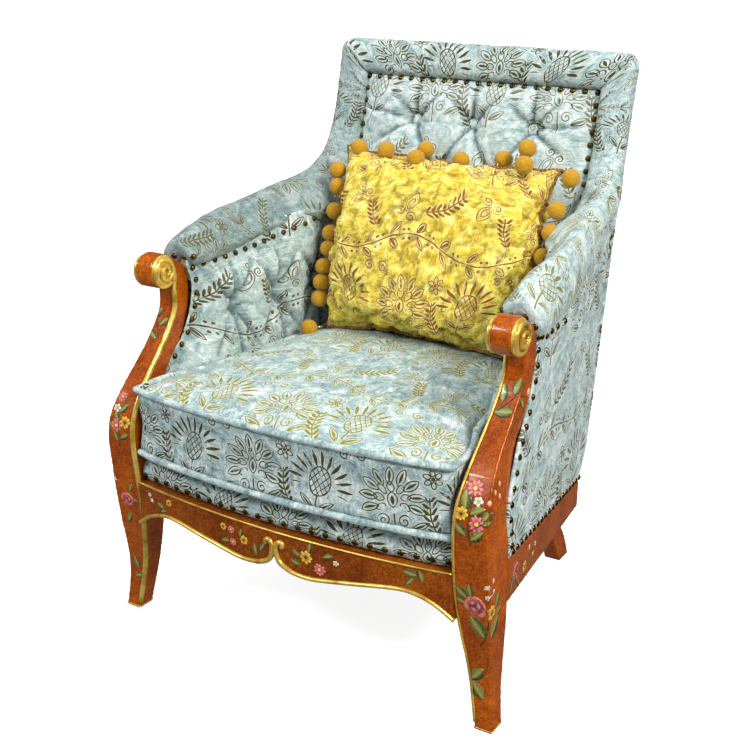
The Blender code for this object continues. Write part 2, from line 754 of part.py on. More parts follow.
def build_inside_arms():
    """Tufted inside arms, from the post to the inside back."""
    low = SPRING_PAD_TOP + GAP
    rear = back_y(ARM_TUFT_Z, INSIDE_BACK_MAX)
    front = post_rear(ARM_TUFT_Z) + POST_GAP
    along = cut_positions([front, *[tuft[0] for tuft in arm_tufts()], rear], 3)
    up = cut_positions([low, ARM_TUFT_Z, arm_line(ARM_TUFT_Y)], 5)

    def place(a, b, c):
        share = (ARM_TUFT_Z - low) / (arm_line(ARM_TUFT_Y) - low)
        middle = blend(front, rear, a)
        top = arm_line(middle) - GAP
        if b <= share:
            z = blend(low, ARM_TUFT_Z, b / share)
        else:
            z = blend(ARM_TUFT_Z, top, (b - share) / (1.0 - share))
        y = blend(post_rear(z) + POST_GAP, back_y(z, INSIDE_BACK_MAX) - GAP, a)
        if b >= 1.0 - GAP:
            z = arm_line(y) - GAP
        return Vector((side_x(y) - blend(ARM_RAIL_IN + GAP, arm_surface(y, z), c), y, z))

    right = add_part("inside_arm_right", warped_box((along, up, ()), place), VELVET)
    mirror_part(right, "inside_arm_left")
    return right


def button(place, facing):
    """Returns a covered button that faces a direction."""
    shape = bmesh.new()
    turn = facing.to_track_quat("Z", "Y").to_matrix().to_4x4()
    bmesh.ops.create_cone(shape, cap_ends=True, segments=10, radius1=BUTTON_R, radius2=0.7 * BUTTON_R,
                          depth=BUTTON_THICK, matrix=Matrix.Translation(place) @ turn)
    return mesh_from(shape)


def ray_tree(mesh):
    """Returns a tree of a mesh's faces to cast rays at."""
    corners = [vertex.co for vertex in mesh.vertices]
    return BVHTree.FromPolygons(corners, [face.vertices for face in mesh.polygons])


def button_place(pad, bottom, facing):
    """Middle of a button that is pressed into a dimple until its rim meets the pad."""
    tree = ray_tree(pad.data)
    across = facing.orthogonal().normalized()
    rises = []
    for step in range(36):
        turn = Matrix.Rotation(math.tau * step / 36, 3, facing)
        start = bottom + turn @ across * BUTTON_R + facing * TUFT_R
        hit = tree.ray_cast(start, -facing)
        rises.append(TUFT_R - hit[3])
    return bottom + facing * (max(rises) + GAP + BUTTON_THICK / 2.0)


def build_buttons(inside_back, inside_arm):
    """Covered buttons, each seated in its dimple."""
    forward = Vector((0.0, -math.cos(RAKE), math.sin(RAKE)))
    for index, (x, rise) in enumerate(back_tufts()):
        place = button_place(inside_back, back_point(x, rise, back_surface(x, rise)), forward)
        add_part(f"back_button_{index + 1}", button(place, forward), VELVET)
    inward = Vector((-1.0, -SIDE_TAPER, 0.0)).normalized()
    for index, (y, z) in enumerate(arm_tufts()):
        bottom = Vector((side_x(y) - arm_surface(y, z), y, z))
        place = button_place(inside_arm, bottom, inward)
        right = add_part(f"arm_button_right_{index + 1}", button(place, inward), VELVET)
        mirror_part(right, f"arm_button_left_{index + 1}")


def sweep_corner():
    """Arm-top line and back-front line as (y, z): their corner, directions and fillet."""
    slope = math.atan(ARM_SLOPE)
    along = Vector((math.cos(slope), math.sin(slope)))
    up = Vector((math.sin(RAKE), math.cos(RAKE)))
    base = back_y(ARM_LINE_Z + ARM_ROLL, BACK_THICK)
    y = base / (1.0 - math.tan(RAKE) * ARM_SLOPE)
    corner = Vector((y, arm_line(y) + ARM_ROLL))
    turn = math.pi / 2.0 - RAKE - slope
    return corner, along, up, slope, turn


def band_lines(share):
    """Top and underside of the side band at a share of its length, as (y, z) pairs."""
    corner, along, up, slope, turn = sweep_corner()
    reach = ARM_SWEEP_R * math.tan(turn / 2.0)
    start = corner - along * reach
    finish = corner + up * reach
    rear_depth = OUTSIDE_THICK + GAP
    heel_y = back_y(ARM_LINE_Z, rear_depth) / (1.0 - math.tan(RAKE) * ARM_SLOPE)
    heel = Vector((heel_y, arm_line(heel_y)))
    finish_rise = back_rise(finish.y, BACK_THICK)
    rear = back_point(0.0, finish_rise, rear_depth).yz
    if share <= BAND_ARM:
        y = blend(ARM_FRONT_Y, start.x, share / BAND_ARM)
        return Vector((y, arm_line(y) + ARM_ROLL)), Vector((y, arm_line(y)))
    if share <= BAND_SWEEP:
        part = (share - BAND_ARM) / (BAND_SWEEP - BAND_ARM)
        centre = start + ARM_SWEEP_R * Vector((-math.sin(slope), math.cos(slope)))
        angle = slope - math.pi / 2.0 + turn * part
        top = centre + ARM_SWEEP_R * Vector((math.cos(angle), math.sin(angle)))
        under_start = Vector((start.x, arm_line(start.x)))
        if part <= 0.5:
            return top, blend(under_start, heel, 2.0 * part)
        return top, blend(heel, rear, 2.0 * part - 1.0)
    part = (share - BAND_SWEEP) / (1.0 - BAND_SWEEP)
    top = back_point(0.0, blend(finish_rise, BACK_RISE, part), BACK_THICK).yz
    return top, blend(rear, back_point(0.0, BACK_RISE, rear_depth).yz, part)


def rear_tuck(depth):
    """How far the back's outer edge draws in at a depth, most at its rear face."""
    return REAR_TUCK * min(max((BACK_THICK - depth) / (BACK_THICK - OUTSIDE_THICK), 0.0), 1.0)


def build_side_bands():
    """Padded bands that run along the arm tops and sweep up into the back's side borders."""

    def place(a, b, c):
        top, under = band_lines(a)
        lift = ease(BAND_ARM, BAND_SWEEP, a)
        edge = abs(2.0 * b - 1.0)
        thick = (top - under).length
        nose = ROLL_NOSE * (1.0 - ease(-BAND_NOSE, BAND_NOSE, a)) * 2.0
        slope = ROLL_FALL * (1.0 - math.sin(math.pi / 2.0 * min(b / ROLL_PEAK, 1.0)))
        slope += ROLL_DROP * ease(ROLL_PEAK, 1.0, b)
        fall = blend(slope, ROLL_DROP * edge ** 3, lift)
        point = blend(under, top, c * (1.0 - fall / thick) * (1.0 - nose / thick))
        ahead = (back_y(point.y, INSIDE_BACK_MAX) - point.x) / BORDER_TOP
        free = ease(0.5, 1.5, ahead)
        inner = blend(BACK_HALF - BORDER_SIDE, side_x(point.x) - ROLL_WIDE, free)
        depth = (back_y(point.y, 0.0) - point.x) * math.cos(RAKE)
        outer = blend(side_x(top.x), BACK_HALF - rear_tuck(depth), lift)
        bulge = ROLL_BULGE * math.sin(math.pi * c)
        x = blend(inner - bulge * free, outer + bulge * (1.0 - lift), b)
        mitre = BORDER_TOP * (1.0 - b) * ease(BAND_SWEEP, 1.0, a)
        down = Vector((math.sin(RAKE), math.cos(RAKE))) * mitre
        return Vector((x, point.x - down.x, point.y - down.y))

    cuts = [BAND_NOSE] + [BAND_ARM * step / 5.0 for step in range(1, 6)]
    cuts += [BAND_ARM + (BAND_SWEEP - BAND_ARM) * step / 6.0 for step in range(1, 7)]
    cuts += [BAND_SWEEP + (1.0 - BAND_SWEEP) * step / 3.0 for step in range(1, 3)]
    mesh = warped_box((cuts, even_cuts(6), even_cuts(2)), place)
    right = add_part("side_band_right", mesh, VELVET)
    mirror_part(right, "side_band_left")


def build_crest_band():
    """Padded border along the crest, mitred to the side bands."""

    def place(a, b, c):
        edge = abs(2.0 * b - 1.0)
        rear_depth = OUTSIDE_THICK + GAP
        depth = blend(rear_depth, BACK_THICK - ROLL_DROP * edge ** 3, c)
        reach = BACK_HALF - BORDER_SIDE * (1.0 - b) - rear_tuck(depth) * b - PAD_GAP
        return back_point(blend(-reach, reach, a), BACK_RISE - BORDER_TOP * (1.0 - b), depth)

    add_part("crest_band", warped_box((even_cuts(6), even_cuts(6), ()), place), VELVET)


def build_outside_panels():
    """Outside arms and outside back."""

    def arm_place(a, b, c):
        y = 0.0
        z = 0.0
        for _ in range(5):
            z = blend(rail_top(y) + GAP, arm_line(y) - GAP, b)
            tuck = ease(SIDE_RAIL_REAR_TOP, BACK_Z, z)
            rear = back_y(z, OUTSIDE_THICK + 2.0 * GAP)
            rear = blend(min(SIDE_RAIL_END_Y, rear), rear, tuck)
            y = blend(post_rear(z) + POST_GAP, rear, a)
        return Vector((side_x(y) - OUTSIDE_THICK * (1.0 - c), y, z))

    mesh = warped_box((even_cuts(6), even_cuts(8), ()), arm_place)
    right = add_part("outside_arm_right", mesh, VELVET)
    mirror_part(right, "outside_arm_left")

    def back_place(a, b, c):
        low_half = side_x(back_y(BACK_Z, 0.0))
        half = blend(low_half, BACK_HALF - REAR_TUCK - ROLL_BULGE, b)
        return back_point(blend(-half, half, a), BACK_RISE * b, OUTSIDE_THICK * c)

    add_part("outside_back", warped_box((even_cuts(2), even_cuts(2), ()), back_place), VELVET)


# Loose cushion and pillow

def cushion_half(y):
    """Half width of the cushion at a depth: wide between the posts, then along the arms."""
    arms = side_x(max(y, LEG_REAR_Y)) - ARM_INSIDE - SIDE_CLEAR - 2.0 * WELT_R
    return blend(CUSHION_FRONT_HALF, arms, ease(0.0, CUSHION_STEP_Y, y))


def cushion_plan(a, b, z):
    """Plan place of a cushion point, before its sides are drawn in."""
    rear = back_y(z, INSIDE_BACK_MAX) - SIDE_CLEAR - 2.0 * WELT_R
    guess = blend(BOW_END_Y, rear, b)
    x = cushion_half(guess) * (2.0 * a - 1.0)
    return Vector((x, blend(bow_y(x), rear, b), z))


def build_cushion():
    """Box cushion with a crown, drawn-in sides and a welt on each edge."""
    tall = CUSHION_EDGE_TOP - CUSHION_EDGE_LOW
    notch = WELT_NOTCH_TALL / tall

    def place(a, b, c):
        u = 2.0 * a - 1.0
        v = 2.0 * b - 1.0
        z = blend(CUSHION_EDGE_LOW, CUSHION_EDGE_TOP, c)
        point = cushion_plan(a, b, z)
        inner = (1.0 - u ** 4) * (1.0 - v ** 4)
        edge = 1.0 if c in (0.0, 1.0) else 0.0
        inset = WELT_NOTCH * edge + CUSHION_DRAW * math.sin(math.pi * c) ** 2
        rim = max(abs(u), abs(v)) ** 12
        point.x -= inset * u * abs(u) ** 8
        point.y -= inset * v * abs(v) ** 8
        if c > 1.0 - GAP:
            point.z += CUSHION_CROWN * inner
        if c < GAP:
            point.z -= (CUSHION_EDGE_LOW - DECK_TOP - GAP) * (1.0 - rim)
        return point

    levels = [notch, 0.5, 1.0 - notch]
    mesh = warped_box((even_cuts(14), even_cuts(12), levels), place)
    cushion = add_part("seat_cushion", mesh, VELVET, CUSHION)
    for name, z in (("top", CUSHION_EDGE_TOP), ("bottom", CUSHION_EDGE_LOW)):
        rim = [(step / 12.0, 0.0) for step in range(12)]
        rim += [(1.0, step / 12.0) for step in range(12)]
        rim += [(1.0 - step / 12.0, 1.0) for step in range(12)]
        rim += [(0.0, 1.0 - step / 12.0) for step in range(12)]
        points = [cushion_plan(a, b, z) for a, b in rim]
        add_part(f"cushion_welt_{name}", tube(points, WELT_R, closed=True), VELVET, CUSHION)
    return cushion


def settle(meshes, carrier):
    """Lowers the meshes until the lowest of them rests on the carrier's mesh."""
    down = Vector((0.0, 0.0, -1.0))
    below = ray_tree(carrier)
    drops = []
    for mesh in meshes:
        above = ray_tree(mesh)
        drops += [below.ray_cast(vertex.co, down)[3] for vertex in mesh.vertices]
        drops += [above.ray_cast(vertex.co, -down)[3] for vertex in carrier.vertices]
    drop = min(distance for distance in drops if distance is not None) - SETTLE_GAP
    for mesh in meshes:
        mesh.transform(Matrix.Translation(down * drop))


def pillow_point(u, v, out):
    """Place of a pillow point: u across, v up, both from -1 to 1, and out from its middle plane."""
    flare = PILLOW_FLARE * max(v, 0.0) ** 3
    x = u * (PILLOW_HALF + flare - PILLOW_DRAW * (1.0 - v * v) * abs(u))
    up = v * (PILLOW_HALF_TALL - PILLOW_DRAW * (1.0 - u * u) * abs(v))
    lean = Vector((0.0, math.sin(PILLOW_LEAN), math.cos(PILLOW_LEAN)))
    front = Vector((0.0, -math.cos(PILLOW_LEAN), math.sin(PILLOW_LEAN)))
    return Vector((PILLOW_X + x, PILLOW_Y, PILLOW_Z)) + lean * up + front * out


def build_pillow(cushion):
    """Knife-edge throw pillow with drawn-in sides, an edge cord and pom-poms, settled on the cushion."""

    def place(a, b, c):
        u = 2.0 * a - 1.0
        v = 2.0 * b - 1.0
        swell = ((1.0 - u ** 2) * (1.0 - v ** 2)) ** 0.5
        return pillow_point(u, v, (PILLOW_SEAM + PILLOW_HALF_THICK * swell) * (2.0 * c - 1.0))

    pillow = warped_box((even_cuts(12), even_cuts(12), ()), place)
    spread = CORD_R + GAP
    sides = 10
    rim = [(2.0 * step / sides - 1.0, -1.0) for step in range(sides)]
    rim += [(1.0, 2.0 * step / sides - 1.0) for step in range(sides)]
    rim += [(1.0 - 2.0 * step / sides, 1.0) for step in range(sides)]
    rim += [(-1.0, 1.0 - 2.0 * step / sides) for step in range(sides)]
    lean = Vector((0.0, math.sin(PILLOW_LEAN), math.cos(PILLOW_LEAN)))

    def edge_point(u, v):
        push = Vector((spread * u * (abs(u) == 1.0), 0.0, 0.0)) + lean * (spread * v * (abs(v) == 1.0))
        return pillow_point(u, v, 0.0) + push

    cord = tube([edge_point(u, v) for u, v in rim], CORD_R, closed=True)
    balls = bmesh.new()
    reach = CORD_R + POMPOM_R - POMPOM_SINK
    places = []
    for index in range(POMPOMS_TOP):
        places.append((2.0 * (index + 0.5) / POMPOMS_TOP - 1.0, 1.0))
    for index in range(POMPOMS_SIDE):
        height = 2.0 * (index + 0.5) / POMPOMS_SIDE - 1.0
        places += [(-1.0, height), (1.0, height)]
    for u, v in places:
        out = Vector((u, 0.0, 0.0)) if abs(u) == 1.0 else lean * v
        place_at = edge_point(u, v) + out * reach
        bmesh.ops.create_uvsphere(balls, u_segments=8, v_segments=5, radius=POMPOM_R,
                                  matrix=Matrix.Translation(place_at))
    fringe = combine(cord, mesh_from(balls), "UNION")
    settle([pillow, fringe], cushion.data)
    add_part("throw_pillow", pillow, GOLD, PILLOW)
    add_part("pompom_fringe", fringe, MUSTARD, PILLOW)


clear_scene()
PARTS = make_collection("chinoiserie_armchair")
CUTTERS = make_collection("cutters")

PAINT = make_material("orange_paint", (0.52, 0.12, 0.012), 0.25)
BEECH = make_material("beech", (0.62, 0.42, 0.24), 0.55)
VELVET = make_material("blue_velvet", (0.36, 0.46, 0.47), 0.85)
GOLD = make_material("gold_velvet", (0.60, 0.42, 0.03), 0.70)
MUSTARD = make_material("mustard_wool", (0.60, 0.30, 0.02), 0.90)
FELT = make_material("felt", (0.70, 0.66, 0.58), 0.95)
CAMBRIC = make_material("black_cambric", (0.02, 0.02, 0.02), 0.90)
STEEL = make_material("spring_steel", (0.35, 0.35, 0.37), 0.35, 1.0)

POST_REAR_LINE = post_rear_line()
LEG_INNER_LINE = leg_inner_line()
BACK_RAIL_Y = min(point.x for point in rear_leg_front_line()) - GAP - BACK_RAIL_THICK
SPRING_PAD_TOP = SEAT_RAIL_TOP + 2.0 * SPRING_WIRE + 2.0 * GAP + SPRING_PAD_THICK
DECK_TOP = SPRING_PAD_TOP + GAP + DECK_THICK
INSIDE_BACK_MAX = INSIDE_BACK_EDGE + INSIDE_BACK_CROWN + PAD_GAP
ARM_INSIDE = max(ROLL_WIDE + ROLL_BULGE, ARM_PAD_EDGE + ARM_PAD_CROWN) + SIDE_CLEAR
PILLOW_HALF = side_x(PILLOW_Y) - ARM_INSIDE - PILLOW_FRINGE_ROOM
BAND_ARM = 0.45
BAND_SWEEP = 0.70
BAND_NOSE = 0.03

CHAIR = make_empty("chair", (0.0, -DEPTH_MIDDLE, 0.0))
CUSHION = make_empty("cushion_lift", (0.0, (BOW_END_Y + BACK_RAIL_Y) / 2.0, CUSHION_EDGE_LOW), CHAIR)
PILLOW = make_empty("pillow_lift", (PILLOW_X, PILLOW_Y, PILLOW_Z), CHAIR)

build_front_posts()
build_apron()
build_side_rails()
build_rear_posts()
build_cross_rails()
build_corner_blocks()
build_back_frame()
build_arm_rails()
build_springs()
build_deck()
build_buttons(build_inside_back(), build_inside_arms())
build_side_bands()
build_crest_band()
build_outside_panels()
build_pillow(build_cushion())
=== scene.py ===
"""Painted and upholstered armchair: velvet, gilding, painted flowers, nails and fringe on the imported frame.

Shapes are worked out in chair coordinates: X across, Y from the front feet backward, Z up from the
floor, in metres. Every finished mesh is then moved to the frame, whose origin is in the middle.
"""

from __future__ import annotations

import json
import logging
import math
import random
from dataclasses import dataclass, field
from enum import Enum
from typing import Callable, Optional, Sequence, TypeVar, Union

import bmesh
import bpy
import numpy as np
from mathutils import Matrix, Vector, noise
from mathutils.bvhtree import BVHTree

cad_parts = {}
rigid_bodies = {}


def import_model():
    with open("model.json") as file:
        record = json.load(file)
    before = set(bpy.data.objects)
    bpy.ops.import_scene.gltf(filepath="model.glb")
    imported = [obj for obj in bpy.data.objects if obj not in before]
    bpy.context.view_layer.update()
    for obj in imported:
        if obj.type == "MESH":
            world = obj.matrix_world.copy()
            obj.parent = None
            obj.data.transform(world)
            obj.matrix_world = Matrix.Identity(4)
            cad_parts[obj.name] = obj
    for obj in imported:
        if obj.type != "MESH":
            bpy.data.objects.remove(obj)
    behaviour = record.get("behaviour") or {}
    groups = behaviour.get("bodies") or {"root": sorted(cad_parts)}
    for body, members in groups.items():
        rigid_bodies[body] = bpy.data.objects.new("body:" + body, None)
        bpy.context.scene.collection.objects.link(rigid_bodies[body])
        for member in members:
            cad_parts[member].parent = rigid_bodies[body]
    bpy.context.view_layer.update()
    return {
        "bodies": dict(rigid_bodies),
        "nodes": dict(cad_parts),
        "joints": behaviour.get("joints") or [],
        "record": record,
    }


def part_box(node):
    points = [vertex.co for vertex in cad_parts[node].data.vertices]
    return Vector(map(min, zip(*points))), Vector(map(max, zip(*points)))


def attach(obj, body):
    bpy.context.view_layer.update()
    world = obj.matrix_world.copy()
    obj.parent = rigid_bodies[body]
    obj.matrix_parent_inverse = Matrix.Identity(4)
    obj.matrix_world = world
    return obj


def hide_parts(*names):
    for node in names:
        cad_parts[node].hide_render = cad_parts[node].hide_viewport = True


LOG = logging.getLogger("armchair")

DEPTH_MIDDLE = 0.3213
CLOTH = "cloth"
TINT = "tint"
PAINTED_SHADE_ATTRIBUTE = "hollow"

Colour = tuple[float, float, float, float]
Triple = tuple[float, float, float]
Pair = tuple[float, float]
Placer = Callable[[float, float, float], Vector]
Clother = Callable[[float, float, float], Triple]
Faces = list[tuple[int, ...]]
Socket = bpy.types.NodeSocket
Mixable = TypeVar("Mixable", float, Vector)

# Painted shade in hollows: rounds of averaging, depth at full painted shade and share of that shade, for narrow
# and for wide hollows
HOLLOW_SHADE = ((6, 0.0016, 0.60), (36, 0.0070, 0.40))
# Heights between which a cover's painted shade and light change from its arm's amount to its back's amount
PAINTED_SHADE_HEIGHTS = (0.70, 0.82)


class Body(str, Enum):
    """Bodies of the frame that pieces ride on."""

    CHAIR = "chair"
    CUSHION = "cushion"
    PILLOW = "pillow"


class Slot(str, Enum):
    """Material slots of the record."""

    PAINT = "orange_paint"
    VELVET = "blue_velvet"
    GOLD = "gold_velvet"
    WOOL = "mustard_wool"
    FELT = "felt"
    CAMBRIC = "black_cambric"


class Bloom(Enum):
    """Kinds of painted flower parts."""

    ROSE = "rose"
    PINK = "pink"
    YELLOW = "yellow"
    WHITE = "white"
    BUD = "bud"
    LEAF = "leaf"


ROSE, PINK, YELLOW, WHITE, BUD, LEAF = Bloom


def srgb(red: float, green: float, blue: float) -> Colour:
    """Turns screen values into a linear colour.

    Args:
        red: Red from 0 to 255.
        green: Green from 0 to 255.
        blue: Blue from 0 to 255.

    Returns:
        The linear colour, opaque.
    """

    def linear(value: float) -> float:
        """Undoes the screen's curve for one channel."""
        share = value / 255.0
        return share / 12.92 if share <= 0.04045 else ((share + 0.055) / 1.055) ** 2.4

    return (linear(red), linear(green), linear(blue), 1.0)


def blend(start: Mixable, end: Mixable, share: float) -> Mixable:
    """Mixes two numbers or vectors."""
    return start + (end - start) * share


def ease(low: float, high: float, value: float) -> float:
    """Smooth step from 0 at low to 1 at high."""
    share = min(max((value - low) / (high - low), 0.0), 1.0)
    return share * share * (3.0 - 2.0 * share)


def smooth_line(knots: Sequence[Sequence[float]], steps: int = 6) -> list[Vector]:
    """Runs a Catmull-Rom line through knots.

    Args:
        knots: Points that the line passes through.
        steps: Steps between neighbouring knots.

    Returns:
        The points of the line.
    """
    points = []
    last = len(knots) - 1
    for index in range(last):
        before = Vector(knots[max(index - 1, 0)])
        start = Vector(knots[index])
        end = Vector(knots[index + 1])
        after = Vector(knots[min(index + 2, last)])
        for step in range(steps):
            t = step / steps
            spread = (2.0 * before - 5.0 * start + 4.0 * end - after) * t * t
            bend = (3.0 * start - before - 3.0 * end + after) * t * t * t
            points.append(0.5 * (2.0 * start + (end - before) * t + spread + bend))
    points.append(Vector(knots[last]))
    return points


def at_height(line: Sequence[Vector], z: float) -> float:
    """Gives the first coordinate of a line of (value, z) points at a height."""
    for low, high in zip(line, line[1:]):
        if low.y <= z <= high.y:
            return blend(low.x, high.x, (z - low.y) / (high.y - low.y))
    return line[0].x if z < line[0].y else line[-1].x


def along_line(points: Sequence[Vector], step: float) -> list[Vector]:
    """Spaces points evenly along a line.

    Args:
        points: The line.
        step: Wanted distance between neighbours.

    Returns:
        Evenly spaced points, ends included.
    """
    lengths = [0.0]
    for first, second in zip(points, points[1:]):
        lengths.append(lengths[-1] + (second - first).length)
    count = max(int(round(lengths[-1] / step)), 1)
    spaced = []
    index = 0
    for number in range(count + 1):
        want = lengths[-1] * number / count
        while index < len(points) - 2 and lengths[index + 1] < want:
            index += 1
        span = max(lengths[index + 1] - lengths[index], 1e-9)
        spaced.append(blend(points[index], points[index + 1], (want - lengths[index]) / span))
    return spaced


# Materials


class Value:
    """A number that runs through a material's nodes, with arithmetic that adds nodes."""

    def __init__(self, graph: "Graph", socket: Socket) -> None:
        """Wraps a socket of a graph."""
        self.graph = graph
        self.socket = socket

    def __add__(self, other: "Number") -> "Value":
        """Adds."""
        return self.graph.math("ADD", self, other)

    def __sub__(self, other: "Number") -> "Value":
        """Subtracts."""
        return self.graph.math("SUBTRACT", self, other)

    def __rsub__(self, other: "Number") -> "Value":
        """Subtracts this from another."""
        return self.graph.math("SUBTRACT", other, self)

    def __mul__(self, other: "Number") -> "Value":
        """Multiplies."""
        return self.graph.math("MULTIPLY", self, other)

    def __abs__(self) -> "Value":
        """Drops the sign."""
        return self.graph.math("ABSOLUTE", self)

    __radd__ = __add__
    __rmul__ = __mul__


Number = Union[Value, float]
Fed = Union[Value, Socket, float, Sequence[float]]


class Graph:
    """A material under construction."""

    def __init__(self, name: str) -> None:
        """Starts a material with one Principled shader."""
        self.material = bpy.data.materials.new(name)
        self.material.use_nodes = True
        self.tree = self.material.node_tree
        self.shader = self.tree.nodes["Principled BSDF"]

    def feed(self, socket: Socket, value: Fed) -> None:
        """Links a value or socket to an input, or sets a constant there."""
        if isinstance(value, Value):
            value = value.socket
        if isinstance(value, Socket):
            self.tree.links.new(value, socket)
        else:
            socket.default_value = value

    def node(self, kind: str, inputs: Optional[dict] = None, **settings: str) -> bpy.types.Node:
        """Adds a shader node.

        Args:
            kind: Node type without its prefix.
            inputs: Values by input name or number.
            settings: Properties of the node.

        Returns:
            The node.
        """
        made = self.tree.nodes.new("ShaderNode" + kind)
        for key, value in settings.items():
            setattr(made, key, value)
        for key, value in (inputs or {}).items():
            self.feed(made.inputs[key], value)
        return made

    def math(self, operation: str, *values: Number) -> Value:
        """Adds a Math node and returns its result."""
        made = self.node("Math", dict(enumerate(values)), operation=operation)
        return Value(self, made.outputs[0])

    def least(self, *values: Number) -> Value:
        """Returns the smallest of several values."""
        result = values[0]
        for value in values[1:]:
            result = self.math("MINIMUM", result, value)
        return result

    def most(self, first: Number, second: Number) -> Value:
        """Returns the larger of two values."""
        return self.math("MAXIMUM", first, second)

    def length(self, x: Value, y: Value) -> Value:
        """Returns the length of a flat vector."""
        return self.math("SQRT", self.math("MULTIPLY_ADD", y, y, x * x))

    def step(self, value: Number, low: float, high: float) -> Value:
        """Returns a smooth step between two limits, which may fall."""
        made = self.node("MapRange", {"Value": value, "From Min": low, "From Max": high},
                         interpolation_type="SMOOTHSTEP")
        return Value(self, made.outputs["Result"])

    def attribute(self, name: str) -> bpy.types.Node:
        """Adds a node that reads a mesh attribute."""
        return self.node("Attribute", attribute_name=name)

    def place(self) -> Socket:
        """Gives the place on the object."""
        return self.node("TexCoord").outputs["Object"]

    def parts(self, vector: Socket) -> tuple[Value, Value, Value]:
        """Splits a vector into its three numbers."""
        made = self.node("SeparateXYZ", {0: vector})
        return tuple(Value(self, made.outputs[index]) for index in range(3))

    def scaled(self, vector: Socket, factors: Triple) -> Socket:
        """Multiplies a vector by three factors."""
        return self.node("VectorMath", {0: vector, 1: factors}, operation="MULTIPLY").outputs[0]

    def noise(self, vector: Socket, scale: float, detail: float = 4.0, rough: float = 0.6,
              twist: float = 0.0) -> bpy.types.Node:
        """Adds a noise texture."""
        return self.node("TexNoise", {"Vector": vector, "Scale": scale, "Detail": detail,
                                      "Roughness": rough, "Distortion": twist})

    def cloud(self, vector: Socket, scale: float, detail: float = 4.0, rough: float = 0.6,
              twist: float = 0.0) -> Value:
        """Returns the strength of a noise texture."""
        return Value(self, self.noise(vector, scale, detail, rough, twist).outputs[0])

    def ramp(self, value: Number, stops: Sequence[tuple[float, Colour]]) -> Socket:
        """Colours a value by stops along a ramp."""
        made = self.node("ValToRGB", {"Fac": value})
        elements = made.color_ramp.elements
        while len(elements) < len(stops):
            elements.new(0.5)
        for element, (place, colour) in zip(elements, stops):
            element.position = place
            element.color = colour
        return made.outputs["Color"]

    def mix(self, share: Number, first: Fed, second: Fed) -> Socket:
        """Mixes two colours."""
        return self.node("Mix", {0: share, 6: first, 7: second}, data_type="RGBA").outputs[2]

    def bump(self, height: Number, strength: float, distance: float) -> None:
        """Gives the shader a bump."""
        made = self.node("Bump", {"Height": height, "Strength": strength, "Distance": distance})
        self.feed(self.shader.inputs["Normal"], made.outputs["Normal"])

    def set(self, **inputs: Fed) -> bpy.types.Material:
        """Sets the shader's inputs, with underscores for spaces, and returns the material."""
        for key, value in inputs.items():
            self.feed(self.shader.inputs[key.replace("_", " ")], value)
        return self.material


